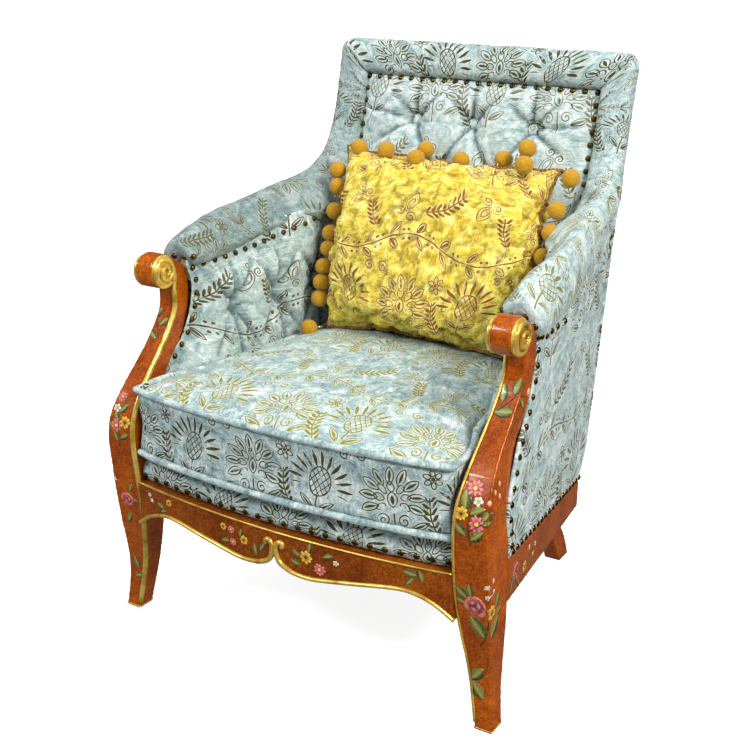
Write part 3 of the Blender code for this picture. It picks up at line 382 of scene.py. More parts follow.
@dataclass(frozen=True)
class Ornament:
    """Printed botanical ornaments, drawn as distances from their lines in metres."""

    graph: Graph
    wide: float = 0.250
    tall: float = 0.300

    def turned(self, x: Value, y: Value, place: Pair, degrees: float) -> tuple[Value, Value]:
        """Moves to a place and turns there.

        Args:
            x: Distance across the cloth.
            y: Distance up the cloth.
            place: Middle of the ornament.
            degrees: Turn of its own upright.

        Returns:
            The place in the ornament's own axes.
        """
        cos, sin = math.cos(math.radians(degrees)), math.sin(math.radians(degrees))
        add = self.graph.math
        across = add("MULTIPLY_ADD", x, cos, add("MULTIPLY_ADD", y, sin, -place[0] * cos - place[1] * sin))
        up = add("MULTIPLY_ADD", x, -sin, add("MULTIPLY_ADD", y, cos, place[0] * sin - place[1] * cos))
        return across, up

    def leaf(self, x: Value, y: Value, half_long: float, half_wide: float) -> Value:
        """Distance from a pointed leaf that lies along Y, negative inside."""
        bow = (half_long ** 2 + half_wide ** 2) / (2.0 * half_wide)
        return self.graph.length(abs(x) + (bow - half_wide), y) - bow

    def ring(self, radius: Value, angle: Value, count: int, middle: float, half_long: float,
             half_wide: float) -> Value:
        """Distance from a ring of leaves that point outward."""
        fold = self.graph.math("FRACT", angle * (count / math.tau) + 0.5) - 0.5
        turn = fold * (math.tau / count)
        along = radius * self.graph.math("COSINE", turn) - middle
        return self.leaf(radius * self.graph.math("SINE", turn), along, half_long, half_wide)

    def polar(self, x: Value, y: Value) -> tuple[Value, Value]:
        """Gives radius and angle of a place."""
        return self.graph.length(x, y), self.graph.math("ARCTAN2", x, y)

    def veined(self, x: Value, y: Value, half_long: float, half_wide: float) -> Value:
        """Distance from the outline and midrib of a leaf."""
        return self.graph.least(abs(self.leaf(x, y, half_long, half_wide)),
                                self.leaf(x, y + half_long * 0.15, half_long * 0.65, half_wide * 0.22))

    def curl(self, x: Value, y: Value, size: float) -> Value:
        """Distance from a tendril that winds into a point."""
        radius, angle = self.polar(x, y)
        pitch = size / 1.5
        wound = self.graph.math("FRACT", (radius - angle * (pitch / math.tau)) * (1.0 / pitch))
        return self.graph.most(abs(wound - 0.5) * pitch - 0.0002, radius - size)

    def palmette(self, x: Value, y: Value) -> Value:
        """Open flower: two rows of pointed petals round a bud, with curls and leaves below."""
        most, side = self.graph.most, abs(x)
        radius, angle = self.polar(x, y)
        low = (abs(angle) - 2.2) * radius
        petals = most(abs(self.ring(radius, angle, 13, 0.0405, 0.0150, 0.0068)), low)
        cores = most(self.ring(radius, angle, 13, 0.0400, 0.0085, 0.0013), low)
        inner = most(abs(self.ring(radius, angle, 9, 0.0225, 0.0090, 0.0052)), low)
        heart = self.graph.least(abs(self.leaf(x, y - 0.001, 0.0125, 0.0078)),
                                 self.leaf(x, y, 0.0065, 0.0022))
        base = self.veined(*self.turned(side, y, (0.040, -0.040), -66.0), 0.0170, 0.0052)
        stem = most(side - 0.0004, abs(y + 0.040) - 0.018)
        curls = self.curl(side - 0.0165, y + 0.033, 0.0100)
        return self.graph.least(petals, cores, inner, heart, base, stem, curls)

    def cone(self, x: Value, y: Value) -> Value:
        """Scaled cone with a fringe of slender petals above it and leaves below."""
        most, side = self.graph.most, abs(x)
        size = 0.0098
        rows = [abs(self.graph.math("FRACT", line * (1.0 / size)) - 0.5) * size
                for line in (x + y * 0.75, x - y * 0.75)]
        egg = (self.graph.length(x * (1.0 / 0.0185), y * (1.0 / 0.0245)) - 1.0) * 0.020
        scales = most(self.graph.least(*rows) - 0.0001, egg)
        radius, angle = self.polar(x, y + 0.006)
        fan = most(self.ring(radius, angle, 21, 0.0440, 0.0125, 0.0018), (abs(angle) - 1.75) * radius)
        base = self.veined(*self.turned(side, y, (0.0165, -0.0390), -52.0), 0.0160, 0.0050)
        stem = most(side - 0.0004, abs(y + 0.044) - 0.019)
        return self.graph.least(scales, abs(egg), fan, base, stem)

    def sprig(self, x: Value, y: Value, half: float, gap: float, bend: float = 5.0) -> Value:
        """Bent stem with slender leaflets on both sides."""
        x = x - y * y * bend
        fold = (self.graph.math("FRACT", y * (1.0 / gap)) - 0.5) * gap
        across, up = self.turned(abs(x), fold, (0.0064, 0.0), -42.0)
        leaflets = self.graph.most(self.leaf(across, up, 0.0078, 0.0015), abs(y) - half)
        stem = self.graph.most(abs(x) - 0.0003, abs(y) - half)
        return self.graph.least(leaflets, stem)

    def vine(self, x: Value, y: Value, swing: float) -> Value:
        """Waving stem with veined leaves and berries in its bends."""
        wave = self.graph.math("SINE", x * (math.tau / self.wide)) * swing
        off = y - wave
        gap = self.wide / 5.0
        share = self.graph.math("FRACT", x * (1.0 / gap))
        fold = (share - 0.5) * gap
        leaves = self.veined(*self.turned(fold, abs(off), (0.004, 0.0135), -38.0), 0.0125, 0.0048)
        berry = self.graph.length(abs(fold) - gap * 0.40, abs(off) - 0.0085) - 0.0018
        return self.graph.least(abs(off) * 0.8 - 0.0002, leaves, berry)

    def bud(self, x: Value, y: Value) -> Value:
        """Drop-shaped bud inside an outline, with a pair of curls below."""
        outline = abs(self.leaf(x, y, 0.0190, 0.0095))
        inner = abs(self.leaf(x, y + 0.003, 0.0110, 0.0046))
        return self.graph.least(outline, inner, self.curl(abs(x) - 0.0115, y + 0.0235, 0.0085))

    def floret(self, x: Value, y: Value) -> Value:
        """Small flower of six petals."""
        radius, angle = self.polar(x, y)
        return self.graph.least(abs(self.ring(radius, angle, 6, 0.0100, 0.0058, 0.0038)), radius - 0.0020)

    def distance(self, u: Value, v: Value) -> Value:
        """Distance from the nearest printed line, over cloth with a half-drop repeat."""
        graph = self.graph
        row = graph.math("FLOOR", v * (1.0 / self.tall))
        x = graph.math("FLOORED_MODULO", u + row * (self.wide / 2.0), self.wide)
        y = graph.math("FLOORED_MODULO", v, self.tall)
        drawn = [
            self.palmette(*self.turned(x, y, (0.062, 0.070), 6.0)),
            self.cone(*self.turned(x, y, (0.188, 0.074), -8.0)),
            self.vine(x, y - 0.174, 0.020),
            self.sprig(*self.turned(x, y, (0.125, 0.046), 16.0), 0.036, 0.0100),
            self.floret(*self.turned(x, y, (0.126, 0.114), 10.0)),
            self.bud(*self.turned(x, y, (0.050, 0.250), -24.0)),
            self.sprig(*self.turned(x, y, (0.118, 0.248), -58.0), 0.040, 0.0100, -5.0),
            self.bud(*self.turned(x, y, (0.184, 0.252), 146.0)),
            self.sprig(*self.turned(x, y, (0.226, 0.226), 18.0), 0.026, 0.0090),
            self.curl(x - 0.014, y - 0.132, 0.0100),
            self.curl(x - 0.234, y - 0.128, 0.0090),
        ]
        return graph.least(*drawn)


@dataclass(frozen=True)
class Velvet:
    """Crushed velvet with a printed ornament, pale along its lines, and with painted sheen, glints, shade and
    light.
    """

    name: str
    shades: tuple[Colour, Colour, Colour, Colour]
    ink: Colour
    # Ink colour on upward faces, lighter as painted light.
    ink_lit: Colour
    halo: Colour
    sheen: Colour
    crush: float = 20.0
    streak: float = 1.0
    size: float = 1.0
    relief: float = 0.45
    line: float = 1.0
    printed: bool = True

    def make(self) -> bpy.types.Material:
        """Builds the material."""
        graph = Graph(self.name)
        cloth = graph.attribute(CLOTH).outputs["Vector"]
        u, v, above = graph.parts(cloth)
        # Crushed pile tone: partly random tone and partly painted sheen, with painted glints as highlights.
        clouds = graph.cloud(cloth, self.crush, 6.0, 0.62, 1.4)
        strokes = graph.cloud(graph.scaled(cloth, (44.0, 210.0, 3.0)), self.streak, 3.0, 0.55, 1.6)
        cross = graph.cloud(graph.scaled(cloth, (190.0, 52.0, 3.0)), self.streak, 3.0, 0.55, 1.2)
        region = graph.step(graph.cloud(cloth, 5.0, 2.0, 0.5, 0.5), 0.42, 0.58)
        streaks = strokes * region + cross * (1.0 - region)
        pile = graph.cloud(cloth, 420.0, 2.0, 0.6)
        glint = graph.step(graph.cloud(cloth, self.crush * 3.2, 3.0, 0.6, 2.2), 0.50, 0.72)
        tone = (clouds - 0.5) * 1.7 + (streaks - 0.5) * 1.2 + (pile - 0.5) * 0.5 + glint * 0.34 + 0.40
        dark, middle, light, white = self.shades
        colour = graph.ramp(tone, [(0.05, dark), (0.40, middle), (0.66, light), (0.95, white)])
        if self.printed:
            warp = graph.noise(cloth, 16.0, 2.0).outputs["Color"]
            shift_u, shift_v, _ = graph.parts(warp)
            scale = 1.0 / self.size
            far = Ornament(graph).distance((u + (shift_u - 0.5) * 0.010) * scale,
                                           (v + (shift_v - 0.5) * 0.010) * scale)
            far = far * (self.size / self.line)
            worn = graph.step(graph.cloud(cloth, 60.0, 3.0), 0.30, 0.46)
            colour = graph.mix(graph.step(far, 0.0030, 0.0010) * 0.55, colour, self.halo)
            # The cloth's third value paints the ink lighter on upward faces, where the light falls: painted
            # light.
            ink = graph.mix(above, self.ink, self.ink_lit)
            colour = graph.mix(graph.step(far, 0.0015, 0.0007) * (worn * 0.6 + 0.4), colour, ink)
        # Painted shade toward a dark copy of the velvet in hollows, and painted light toward white where the
        # amount is negative.
        deep = Value(graph, graph.attribute(PAINTED_SHADE_ATTRIBUTE).outputs["Fac"])
        shadow = (dark[0] * 0.35, dark[1] * 0.35, dark[2] * 0.35, 1.0)
        colour = graph.mix(deep * 0.85, colour, shadow)
        colour = graph.mix(deep * -1.0, colour, white)
        graph.bump(clouds * 0.45 + streaks * 0.30 + glint * 0.15 + pile * 0.10, self.relief, 0.0034)
        return graph.set(Base_Color=colour, Roughness=0.66, Sheen_Weight=0.12, Sheen_Roughness=0.35,
                         Sheen_Tint=self.sheen, Specular_IOR_Level=0.25)


@dataclass(frozen=True)
class Lacquer:
    """Glossy orange-brown paint with a mottled, slightly worn ground."""

    name: str = "orange_lacquer"
    shades: tuple[Colour, Colour, Colour] = (srgb(112, 45, 0), srgb(155, 69, 0), srgb(190, 98, 9))

    def make(self) -> bpy.types.Material:
        """Builds the material."""
        graph = Graph(self.name)
        place = graph.place()
        patches = graph.cloud(place, 9.0, 4.0, 0.6, 0.6)
        grain = graph.cloud(place, 330.0, 3.0, 0.7)
        fleck = graph.cloud(place, 90.0, 4.0, 0.75)
        tone = (patches - 0.5) * 1.1 + (grain - 0.5) * 1.8 + (fleck - 0.5) * 1.1 + 0.5
        dark, middle, light = self.shades
        colour = graph.ramp(tone, [(0.10, dark), (0.50, middle), (0.90, light)])
        rough = graph.math("MULTIPLY_ADD", fleck, 0.20, 0.24)
        graph.bump(fleck, 0.06, 0.0015)
        return graph.set(Base_Color=colour, Roughness=rough, Coat_Weight=0.40, Coat_Roughness=0.05,
                         Specular_IOR_Level=0.15)


@dataclass(frozen=True)
class Metal:
    """Metal with tarnish in random patches."""

    name: str
    bright: Colour
    dull: Colour
    rough: float
    scale: float
    metal: float = 1.0
    relief: float = 0.10

    def make(self) -> bpy.types.Material:
        """Builds the material."""
        graph = Graph(self.name)
        place = graph.place()
        stain = graph.cloud(place, self.scale, 4.0, 0.65)
        colour = graph.ramp(stain, [(0.32, self.dull), (0.58, self.bright)])
        rough = graph.math("MULTIPLY_ADD", stain, -0.18, self.rough + 0.09)
        graph.bump(stain, self.relief, 0.0008)
        return graph.set(Base_Color=colour, Roughness=rough, Metallic=self.metal)


@dataclass(frozen=True)
class Plain:
    """A matt or satin surface with mottled colour, such as wool, felt, cord or raw wood."""

    name: str
    dark: Colour
    light: Colour
    rough: float
    scale: float
    stretch: Triple = (1.0, 1.0, 1.0)
    sheen: float = 0.0
    relief: float = 0.3

    def make(self) -> bpy.types.Material:
        """Builds the material."""
        graph = Graph(self.name)
        place = graph.scaled(graph.place(), self.stretch)
        tone = graph.cloud(place, self.scale, 5.0, 0.65, 0.4)
        colour = graph.ramp(tone, [(0.30, self.dark), (0.70, self.light)])
        graph.bump(tone, self.relief, 0.0012)
        return graph.set(Base_Color=colour, Roughness=self.rough, Sheen_Weight=self.sheen)


@dataclass(frozen=True)
class Brushwork:
    """Flower paint whose colours lie on the mesh, streaked like brush marks."""

    name: str = "flower_paint"

    def make(self) -> bpy.types.Material:
        """Builds the material."""
        graph = Graph(self.name)
        tint = graph.attribute(TINT).outputs["Color"]
        place = graph.place()
        marks = graph.cloud(graph.scaled(place, (900.0, 900.0, 260.0)), 1.0, 3.0)
        colour = graph.mix(graph.step(marks, 0.40, 0.75) * 0.16, tint, srgb(250, 240, 200))
        graph.bump(marks, 0.15, 0.0005)
        return graph.set(Base_Color=colour, Roughness=0.34, Coat_Weight=0.3, Specular_IOR_Level=0.25)


BLUE = Velvet("blue_velvet_print",
              (srgb(100, 128, 131), srgb(156, 177, 177), srgb(191, 205, 203), srgb(232, 238, 235)),
              srgb(64, 62, 10), srgb(134, 130, 44), srgb(224, 230, 224), srgb(225, 238, 240), crush=30.0)
# Slightly lighter copy of the velvet for the welts: a painted highlight on their round tops.
LIT_WELT = Velvet("blue_velvet_welt_lit",
              (srgb(108, 134, 137), srgb(160, 180, 180), srgb(194, 207, 205), srgb(230, 236, 234)),
              BLUE.ink, BLUE.ink, BLUE.halo, BLUE.sheen)
GOLD = Velvet("gold_velvet_print",
              (srgb(172, 138, 24), srgb(218, 194, 66), srgb(240, 222, 112), srgb(255, 248, 196)),
              srgb(136, 84, 26), srgb(136, 84, 26), srgb(250, 242, 178), srgb(255, 240, 170),
              crush=52.0, size=0.76, relief=0.8, line=0.70)
LACQUER = Lacquer()
# Darker copy of the lacquer for the apron: painted shade under the nose roll.
SHADED_APRON_LACQUER = Lacquer("orange_lacquer_apron_shaded", (srgb(88, 36, 0), srgb(124, 56, 0), srgb(158, 84, 8)))
GILT = Metal("gilding", srgb(250, 216, 108), srgb(190, 142, 44), 0.30, 38.0, 0.6, 0.03)
BRASS = Metal("antique_brass", srgb(112, 92, 44), srgb(44, 34, 16), 0.30, 140.0)
WOOL = Plain("pompom_wool", srgb(146, 100, 0), srgb(208, 160, 14), 0.95, 620.0, sheen=0.15, relief=0.9)
BRAID = Plain("fringe_braid", srgb(92, 52, 14), srgb(176, 126, 48), 0.6, 500.0)
BEAD = Plain("fringe_bead", srgb(54, 14, 8), srgb(104, 34, 18), 0.12, 120.0, relief=0.02)
CAP = Metal("fringe_cap", srgb(250, 232, 170), srgb(206, 176, 96), 0.25, 200.0)
FLOWER = Brushwork()
BEECH = Plain("raw_beech", srgb(188, 148, 104), srgb(214, 178, 134), 0.6, 14.0, (3.0, 3.0, 22.0), relief=0.1)
STEEL = Metal("spring_steel", srgb(150, 150, 155), srgb(80, 80, 84), 0.35, 90.0)
FELT = Plain("deck_felt", srgb(196, 190, 176), srgb(222, 218, 206), 0.95, 260.0, sheen=0.2)
CAMBRIC = Plain("black_cambric", srgb(20, 20, 21), srgb(38, 38, 40), 0.9, 700.0)

Finish = Union[Velvet, Lacquer, Metal, Plain, Brushwork]


class Finishes:
    """Makes each finish once."""

    def __init__(self) -> None:
        """Starts with no materials."""
        self.made: dict[str, bpy.types.Material] = {}

    def of(self, finish: Finish) -> bpy.types.Material:
        """Returns the material of a finish."""
        if finish.name not in self.made:
            self.made[finish.name] = finish.make()
        return self.made[finish.name]


FINISHES = Finishes()


# Meshes


@dataclass
class Shape:
    """A mesh in the making, in chair coordinates, with cloth places or tints on its points."""

    points: list[Vector] = field(default_factory=list)
    faces: Faces = field(default_factory=list)
    cloth: list[Triple] = field(default_factory=list)
    tints: list[Colour] = field(default_factory=list)

    def join(self, other: "Shape") -> None:
        """Adds another shape's points and faces."""
        start = len(self.points)
        self.points += other.points
        self.faces += [tuple(start + index for index in face) for face in other.faces]
        self.cloth += other.cloth
        self.tints += other.tints

    def moved(self, matrix: Matrix) -> "Shape":
        """Returns a copy moved by a matrix, with its faces flipped if that mirrors it."""
        mirror = matrix.determinant() < 0.0
        faces = [tuple(reversed(face)) if mirror else face for face in self.faces]
        return Shape([matrix @ point for point in self.points], faces, list(self.cloth), list(self.tints))

    def mirrored(self) -> "Shape":
        """Returns the left-hand twin."""
        return self.moved(Matrix.Scale(-1.0, 4, (1.0, 0.0, 0.0)))

    def outward(self) -> "Shape":
        """Turns all faces round if they look into the closed form, and returns this shape."""
        volume = 0.0
        for face in self.faces:
            first = self.points[face[0]]
            for low, high in zip(face[1:], face[2:]):
                volume += first.dot(self.points[low].cross(self.points[high]))
        if volume < 0.0:
            self.faces = [tuple(reversed(face)) for face in self.faces]
        return self

    def tree(self) -> BVHTree:
        """Returns a tree to cast rays at."""
        return BVHTree.FromPolygons(self.points, self.faces)

    def normals(self) -> list[Vector]:
        """Returns a normal for each point."""
        sums = [Vector() for _ in self.points]
        for face in self.faces:
            first, second, third = (self.points[index] for index in face[:3])
            normal = (second - first).cross(third - first)
            for index in face:
                sums[index] += normal
        return [normal.normalized() for normal in sums]

    def hollows(self, rounds: int) -> np.ndarray:
        """How far each point lies below its surroundings.

        Args:
            rounds: Rounds of averaging, which set how wide the surroundings are.

        Returns:
            Depth below the averaged surface, positive in hollows.
        """
        points = np.array([tuple(point) for point in self.points])
        pairs = np.array([(face[k - 1], face[k]) for face in self.faces for k in range(len(face))])
        start, end = np.concatenate((pairs, pairs[:, ::-1])).T
        count = np.bincount(end, minlength=len(points))[:, None]
        even = points
        for _ in range(rounds):
            sums = [np.bincount(end, even[start, axis], len(points)) for axis in range(3)]
            even = 0.5 * even + 0.5 * np.stack(sums, axis=1) / count
        return ((even - points) * np.array([tuple(normal) for normal in self.normals()])).sum(axis=1)

    def rippled(self, depth: float, scale: float, seed: float, creased: bool = False) -> "Shape":
        """Moves the points in and out by soft noise.

        Args:
            depth: Largest move.
            scale: Ripples to the metre.
            seed: Offset that makes pieces differ.
            creased: Whether the ripples meet in sharp creases.

        Returns:
            This shape.
        """
        offset = Vector((seed, seed * 1.7, seed * 0.6))
        for index, normal in enumerate(self.normals()):
            place = self.points[index] * scale + offset
            if creased:
                wave = 2.2 * abs(noise.noise(place)) + 1.1 * abs(noise.noise(place * 2.1)) - 0.7
            else:
                wave = noise.noise(place) + 0.5 * noise.noise(place * 2.3)
            self.points[index] = self.points[index] + normal * (depth * wave)
        return self


@dataclass
class Piece:
    """A finished object and how it belongs to the frame."""

    name: str
    finish: Finish
    body: Body = Body.CHAIR
    slot: Optional[Slot] = None
    stands_for: Sequence[str] = ()
    fill: Optional[float] = None
    # Painted shade on the cover's arm part and back part; negative values paint light.
    painted_shade: Pair = (0.0, 0.0)

    def dress(self, obj: bpy.types.Object) -> bpy.types.Object:
        """Gives an object its finish and ties it to the frame.

        Args:
            obj: The object, already in place.

        Returns:
            The object.
        """
        obj.data.materials.clear()
        obj.data.materials.append(FINISHES.of(self.finish))
        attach(obj, self.body.value)
        if self.stands_for:
            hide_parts(*self.stands_for)
        LOG.info("%s: %d points on %s", self.name, len(obj.data.vertices), self.body.value)
        return obj

    def make(self, shape: Shape) -> bpy.types.Object:
        """Turns a shape into an object of the frame and dresses it."""
        mesh = bpy.data.meshes.new(self.name)
        shift = Vector((0.0, -DEPTH_MIDDLE, 0.0))
        mesh.from_pydata([point + shift for point in shape.points], [], shape.faces)
        if shape.cloth:
            layer = mesh.attributes.new(CLOTH, "FLOAT_VECTOR", "POINT")
            layer.data.foreach_set("vector", [value for place in shape.cloth for value in place])
            # Painted shade: darker in hollows, plus the piece's own painted shade blended by height from arm to
            # back; where that is negative it paints light.
            deep = sum(weight * np.clip(shape.hollows(rounds) / full, 0.0, 1.0)
                       for rounds, full, weight in HOLLOW_SHADE)
            low, high = PAINTED_SHADE_HEIGHTS
            heights = np.array([point.z for point in shape.points])
            painted_shade = blend(*self.painted_shade, np.clip((heights - low) / (high - low), 0.0, 1.0))
            deep = painted_shade + (1.0 - painted_shade) * deep
            layer = mesh.attributes.new(PAINTED_SHADE_ATTRIBUTE, "FLOAT", "POINT")
            layer.data.foreach_set("value", deep.astype(np.float32))
        if shape.tints:
            layer = mesh.attributes.new(TINT, "FLOAT_COLOR", "POINT")
            layer.data.foreach_set("color", [value for tint in shape.tints for value in tint])
        mesh.shade_smooth()
        mesh.update()
        obj = bpy.data.objects.new(self.name, mesh)
        bpy.context.scene.collection.objects.link(obj)
        return self.dress(obj)


def velvet_piece(name: str, nodes: Sequence[str], fill: Optional[float] = None,
                 painted_shade: Pair = (0.0, 0.0)) -> Piece:
    """Gives a piece of the chair in printed blue velvet, with its painted shade, which paints light where it is
    negative.
    """
    return Piece(name, BLUE, slot=Slot.VELVET, stands_for=nodes, fill=fill, painted_shade=painted_shade)


def cuts(length: float, step: float, low: float = 0.0, high: float = 0.0) -> list[float]:
    """Cuts an edge evenly, with closer cuts inside its rounded ends.

    Args:
        length: Length of the edge.
        step: Wanted distance between cuts.
        low: Rounding at the start.
        high: Rounding at the end.

    Returns:
        Cut positions from 0 to 1.
    """
    places = [low * share for share in (0.0, 0.2, 0.45, 0.7)] if low else [0.0]
    count = max(int(round((length - low - high) / step)), 1)
    places += [blend(low, length - high, number / count) for number in range(0 if low else 1, count + 1)]
    if high:
        places += [length - high * share for share in (0.7, 0.45, 0.2, 0.0)]
    return [place / length for place in places]


@dataclass
class SoftBox:
    """A padded block: a cut box with rounded edges, bent into place point by point."""

    lengths: Triple
    step: float
    rounds: tuple[Pair, Pair, Pair]
    place: Placer
    cloth: Clother
    fine: Optional[float] = None

    def rounded(self, share: Triple) -> Triple:
        """Rounds the edges and corners of the plain box.

        Args:
            share: A point of the plain box, from 0 to 1 along its axes.

        Returns:
            The same point on the rounded box.
        """
        inner, out = [], []
        for value, length, (low, high) in zip(share, self.lengths, self.rounds):
            place = value * length
            if low and place < low:
                inner.append(low)
                out.append((place - low) / low)
            elif high and place > length - high:
                inner.append(length - high)
                out.append((place - length + high) / high)
            else:
                inner.append(place)
                out.append(0.0)
        size = math.sqrt(sum(value * value for value in out))
        largest = max(abs(value) for value in out)
        shrink = largest / size if size > 0.0 else 1.0
        result = []
        for base, value, length, (low, high) in zip(inner, out, self.lengths, self.rounds):
            reach = low if value < 0.0 else high
            result.append((base + value * shrink * reach) / length)
        return tuple(result)

    def build(self) -> Shape:
        """Builds the block's closed surface."""
        steps = (self.step, self.step, self.fine or self.step)
        grid = [cuts(length, step, *ends) for length, step, ends in zip(self.lengths, steps, self.rounds)]
        last = [len(line) - 1 for line in grid]
        shape = Shape()
        numbers: dict[tuple[int, int, int], int] = {}

        def number(key: tuple[int, int, int]) -> int:
            """Gives a lattice point its number, and places it when it is new."""
            if key not in numbers:
                numbers[key] = len(shape.points)
                flat = tuple(grid[axis][key[axis]] for axis in range(3))
                shape.points.append(self.place(*self.rounded(flat)))
                shape.cloth.append(self.cloth(*flat))
            return numbers[key]

        for axis in range(3):
            first, second = (axis + 1) % 3, (axis + 2) % 3
            for end in (0, last[axis]):
                for i in range(last[first]):
                    for j in range(last[second]):
                        corners = []
                        for di, dj in ((0, 0), (1, 0), (1, 1), (0, 1)):
                            key = [0, 0, 0]
                            key[axis], key[first], key[second] = end, i + di, j + dj
                            corners.append(number(tuple(key)))
                        shape.faces.append(tuple(corners if end else reversed(corners)))
        return shape.outward()


def sheet_faces(columns: int, rows: int) -> tuple[Faces, list[int]]:
    """Joins two equal grids of points along their rims into one closed sheet.

    Args:
        columns: Cells across a grid.
        rows: Cells up a grid.

    Returns:
        The faces, and the numbers of the first grid's rim points in order.
    """
    row, sheet = columns + 1, (columns + 1) * (rows + 1)
    faces: Faces = []
    for j in range(rows):
        for i in range(columns):
            a = j * row + i
            faces.append((a, a + 1, a + row + 1, a + row))
            faces.append((sheet + a, sheet + a + row, sheet + a + row + 1, sheet + a + 1))
    rim = list(range(columns)) + [j * row + columns for j in range(rows)]
    rim += [rows * row + columns - i for i in range(columns)] + [(rows - j) * row for j in range(rows)]
    for first, second in zip(rim, rim[1:] + rim[:1]):
        faces.append((second, first, sheet + first, sheet + second))
    return faces, rim


def swept(points: Sequence[Vector], radius: Union[float, Callable[[float], float]], sides: int = 8,
          closed: bool = False, facing: Optional[Sequence[Vector]] = None, flat: float = 1.0,
          cloth_start: Optional[Pair] = None) -> Shape:
    """Sweeps a round or oval section along a line.

    Args:
        points: The line.
        radius: Half width of the section, or half width by share of the length.
        sides: Corners of the section.
        closed: Whether the line joins up.
        facing: Direction in which the section is thin, point by point.
        flat: Thickness as a share of the width.
        cloth_start: Cloth place of the line's start, for covered cord.

    Returns:
        The closed tube.
    """
    shape = Shape()
    count = len(points)
    run = 0.0
    normal = Vector((0.0, 0.0, 1.0))
    for index, point in enumerate(points):
        after = points[(index + 1) % count] if closed else points[min(index + 1, count - 1)]
        before = points[index - 1] if closed or index else points[0]
        along = (after - before).normalized()
        if facing:
            normal = facing[index]
        elif index == 0 and abs(along.z) > 0.9:
            normal = Vector((1.0, 0.0, 0.0))
        normal = (normal - along * normal.dot(along)).normalized()
        across = along.cross(normal)
        share = index / max(count - 1, 1)
        half = radius(share) if callable(radius) else radius
        run += (point - before).length if index else 0.0
        for side in range(sides):
            angle = math.tau * side / sides
            offset = across * (math.cos(angle) * half) + normal * (math.sin(angle) * half * flat)
            shape.points.append(point + offset)
            if cloth_start:
                shape.cloth.append((cloth_start[0] + run, cloth_start[1] + angle * half, 0.2))
    rings = count if closed else count - 1
    for index in range(rings):
        for side in range(sides):
            ring, above = index * sides, ((index + 1) % count) * sides
            turn = (side + 1) % sides
            shape.faces.append((ring + side, above + side, above + turn, ring + turn))
    if not closed:
        shape.faces.append(tuple(range(sides)))
        shape.faces.append(tuple(reversed(range((count - 1) * sides, count * sides))))
    return shape


def dome(place: Vector, facing: Vector, radius: float, height: float, rings: int = 4,
         sides: int = 12, sink: float = 0.001) -> Shape:
    """Builds a round-headed nail or button.

    Args:
        place: Middle of its foot.
        facing: Direction of its crown.
        radius: Radius of its foot.
        height: Height of its crown.
        rings: Rings from foot to crown.
        sides: Corners of a ring.
        sink: Depth of its foot below the surface.

    Returns:
        The closed dome.
    """
    shape = Shape()
    turn = facing.to_track_quat("Z", "Y").to_matrix()
    levels = [(-sink, radius * 0.92)]
    tilts = [math.pi / 2.0 * ring / rings for ring in range(rings)]
    levels += [(height * math.sin(tilt), radius * math.cos(tilt)) for tilt in tilts]
    for level, reach in levels:
        for side in range(sides):
            angle = math.tau * side / sides
            offset = Vector((math.cos(angle) * reach, math.sin(angle) * reach, level))
            shape.points.append(place + turn @ offset)
    shape.points.append(place + facing * height)
    for level in range(len(levels) - 1):
        for side in range(sides):
            low, high, after = level * sides, (level + 1) * sides, (side + 1) % sides
            shape.faces.append((low + side, low + after, high + after, high + side))
    top = (len(levels) - 1) * sides
    shape.faces += [(top + side, top + (side + 1) % sides, len(shape.points) - 1) for side in range(sides)]
    shape.faces.append(tuple(reversed(range(sides))))
    return shape


def ball(place: Vector, radius: float, fuzz: float = 0.0, level: int = 3, seed: int = 0) -> Shape:
    """Builds a ball, furred by small random spikes.

    Args:
        place: Its middle.
        radius: Its radius.
        fuzz: Largest spike.
        level: Times that the ball is subdivided.
        seed: Seed of the spikes.

    Returns:
        The closed ball.
    """
    mesh = bmesh.new()
    bmesh.ops.create_icosphere(mesh, subdivisions=level, radius=1.0)
    draw = random.Random(seed)
    shape = Shape()
    for vertex in mesh.verts:
        lump = 1.0 + 0.03 * noise.noise(vertex.co * 2.0 + Vector((seed, 0.0, 0.0)))
        shape.points.append(place + vertex.co * (radius * lump + fuzz * (draw.random() - 0.5)))
    shape.faces = [tuple(vertex.index for vertex in face.verts) for face in mesh.faces]
    mesh.free()
    return shape


# Shared lines of the chair


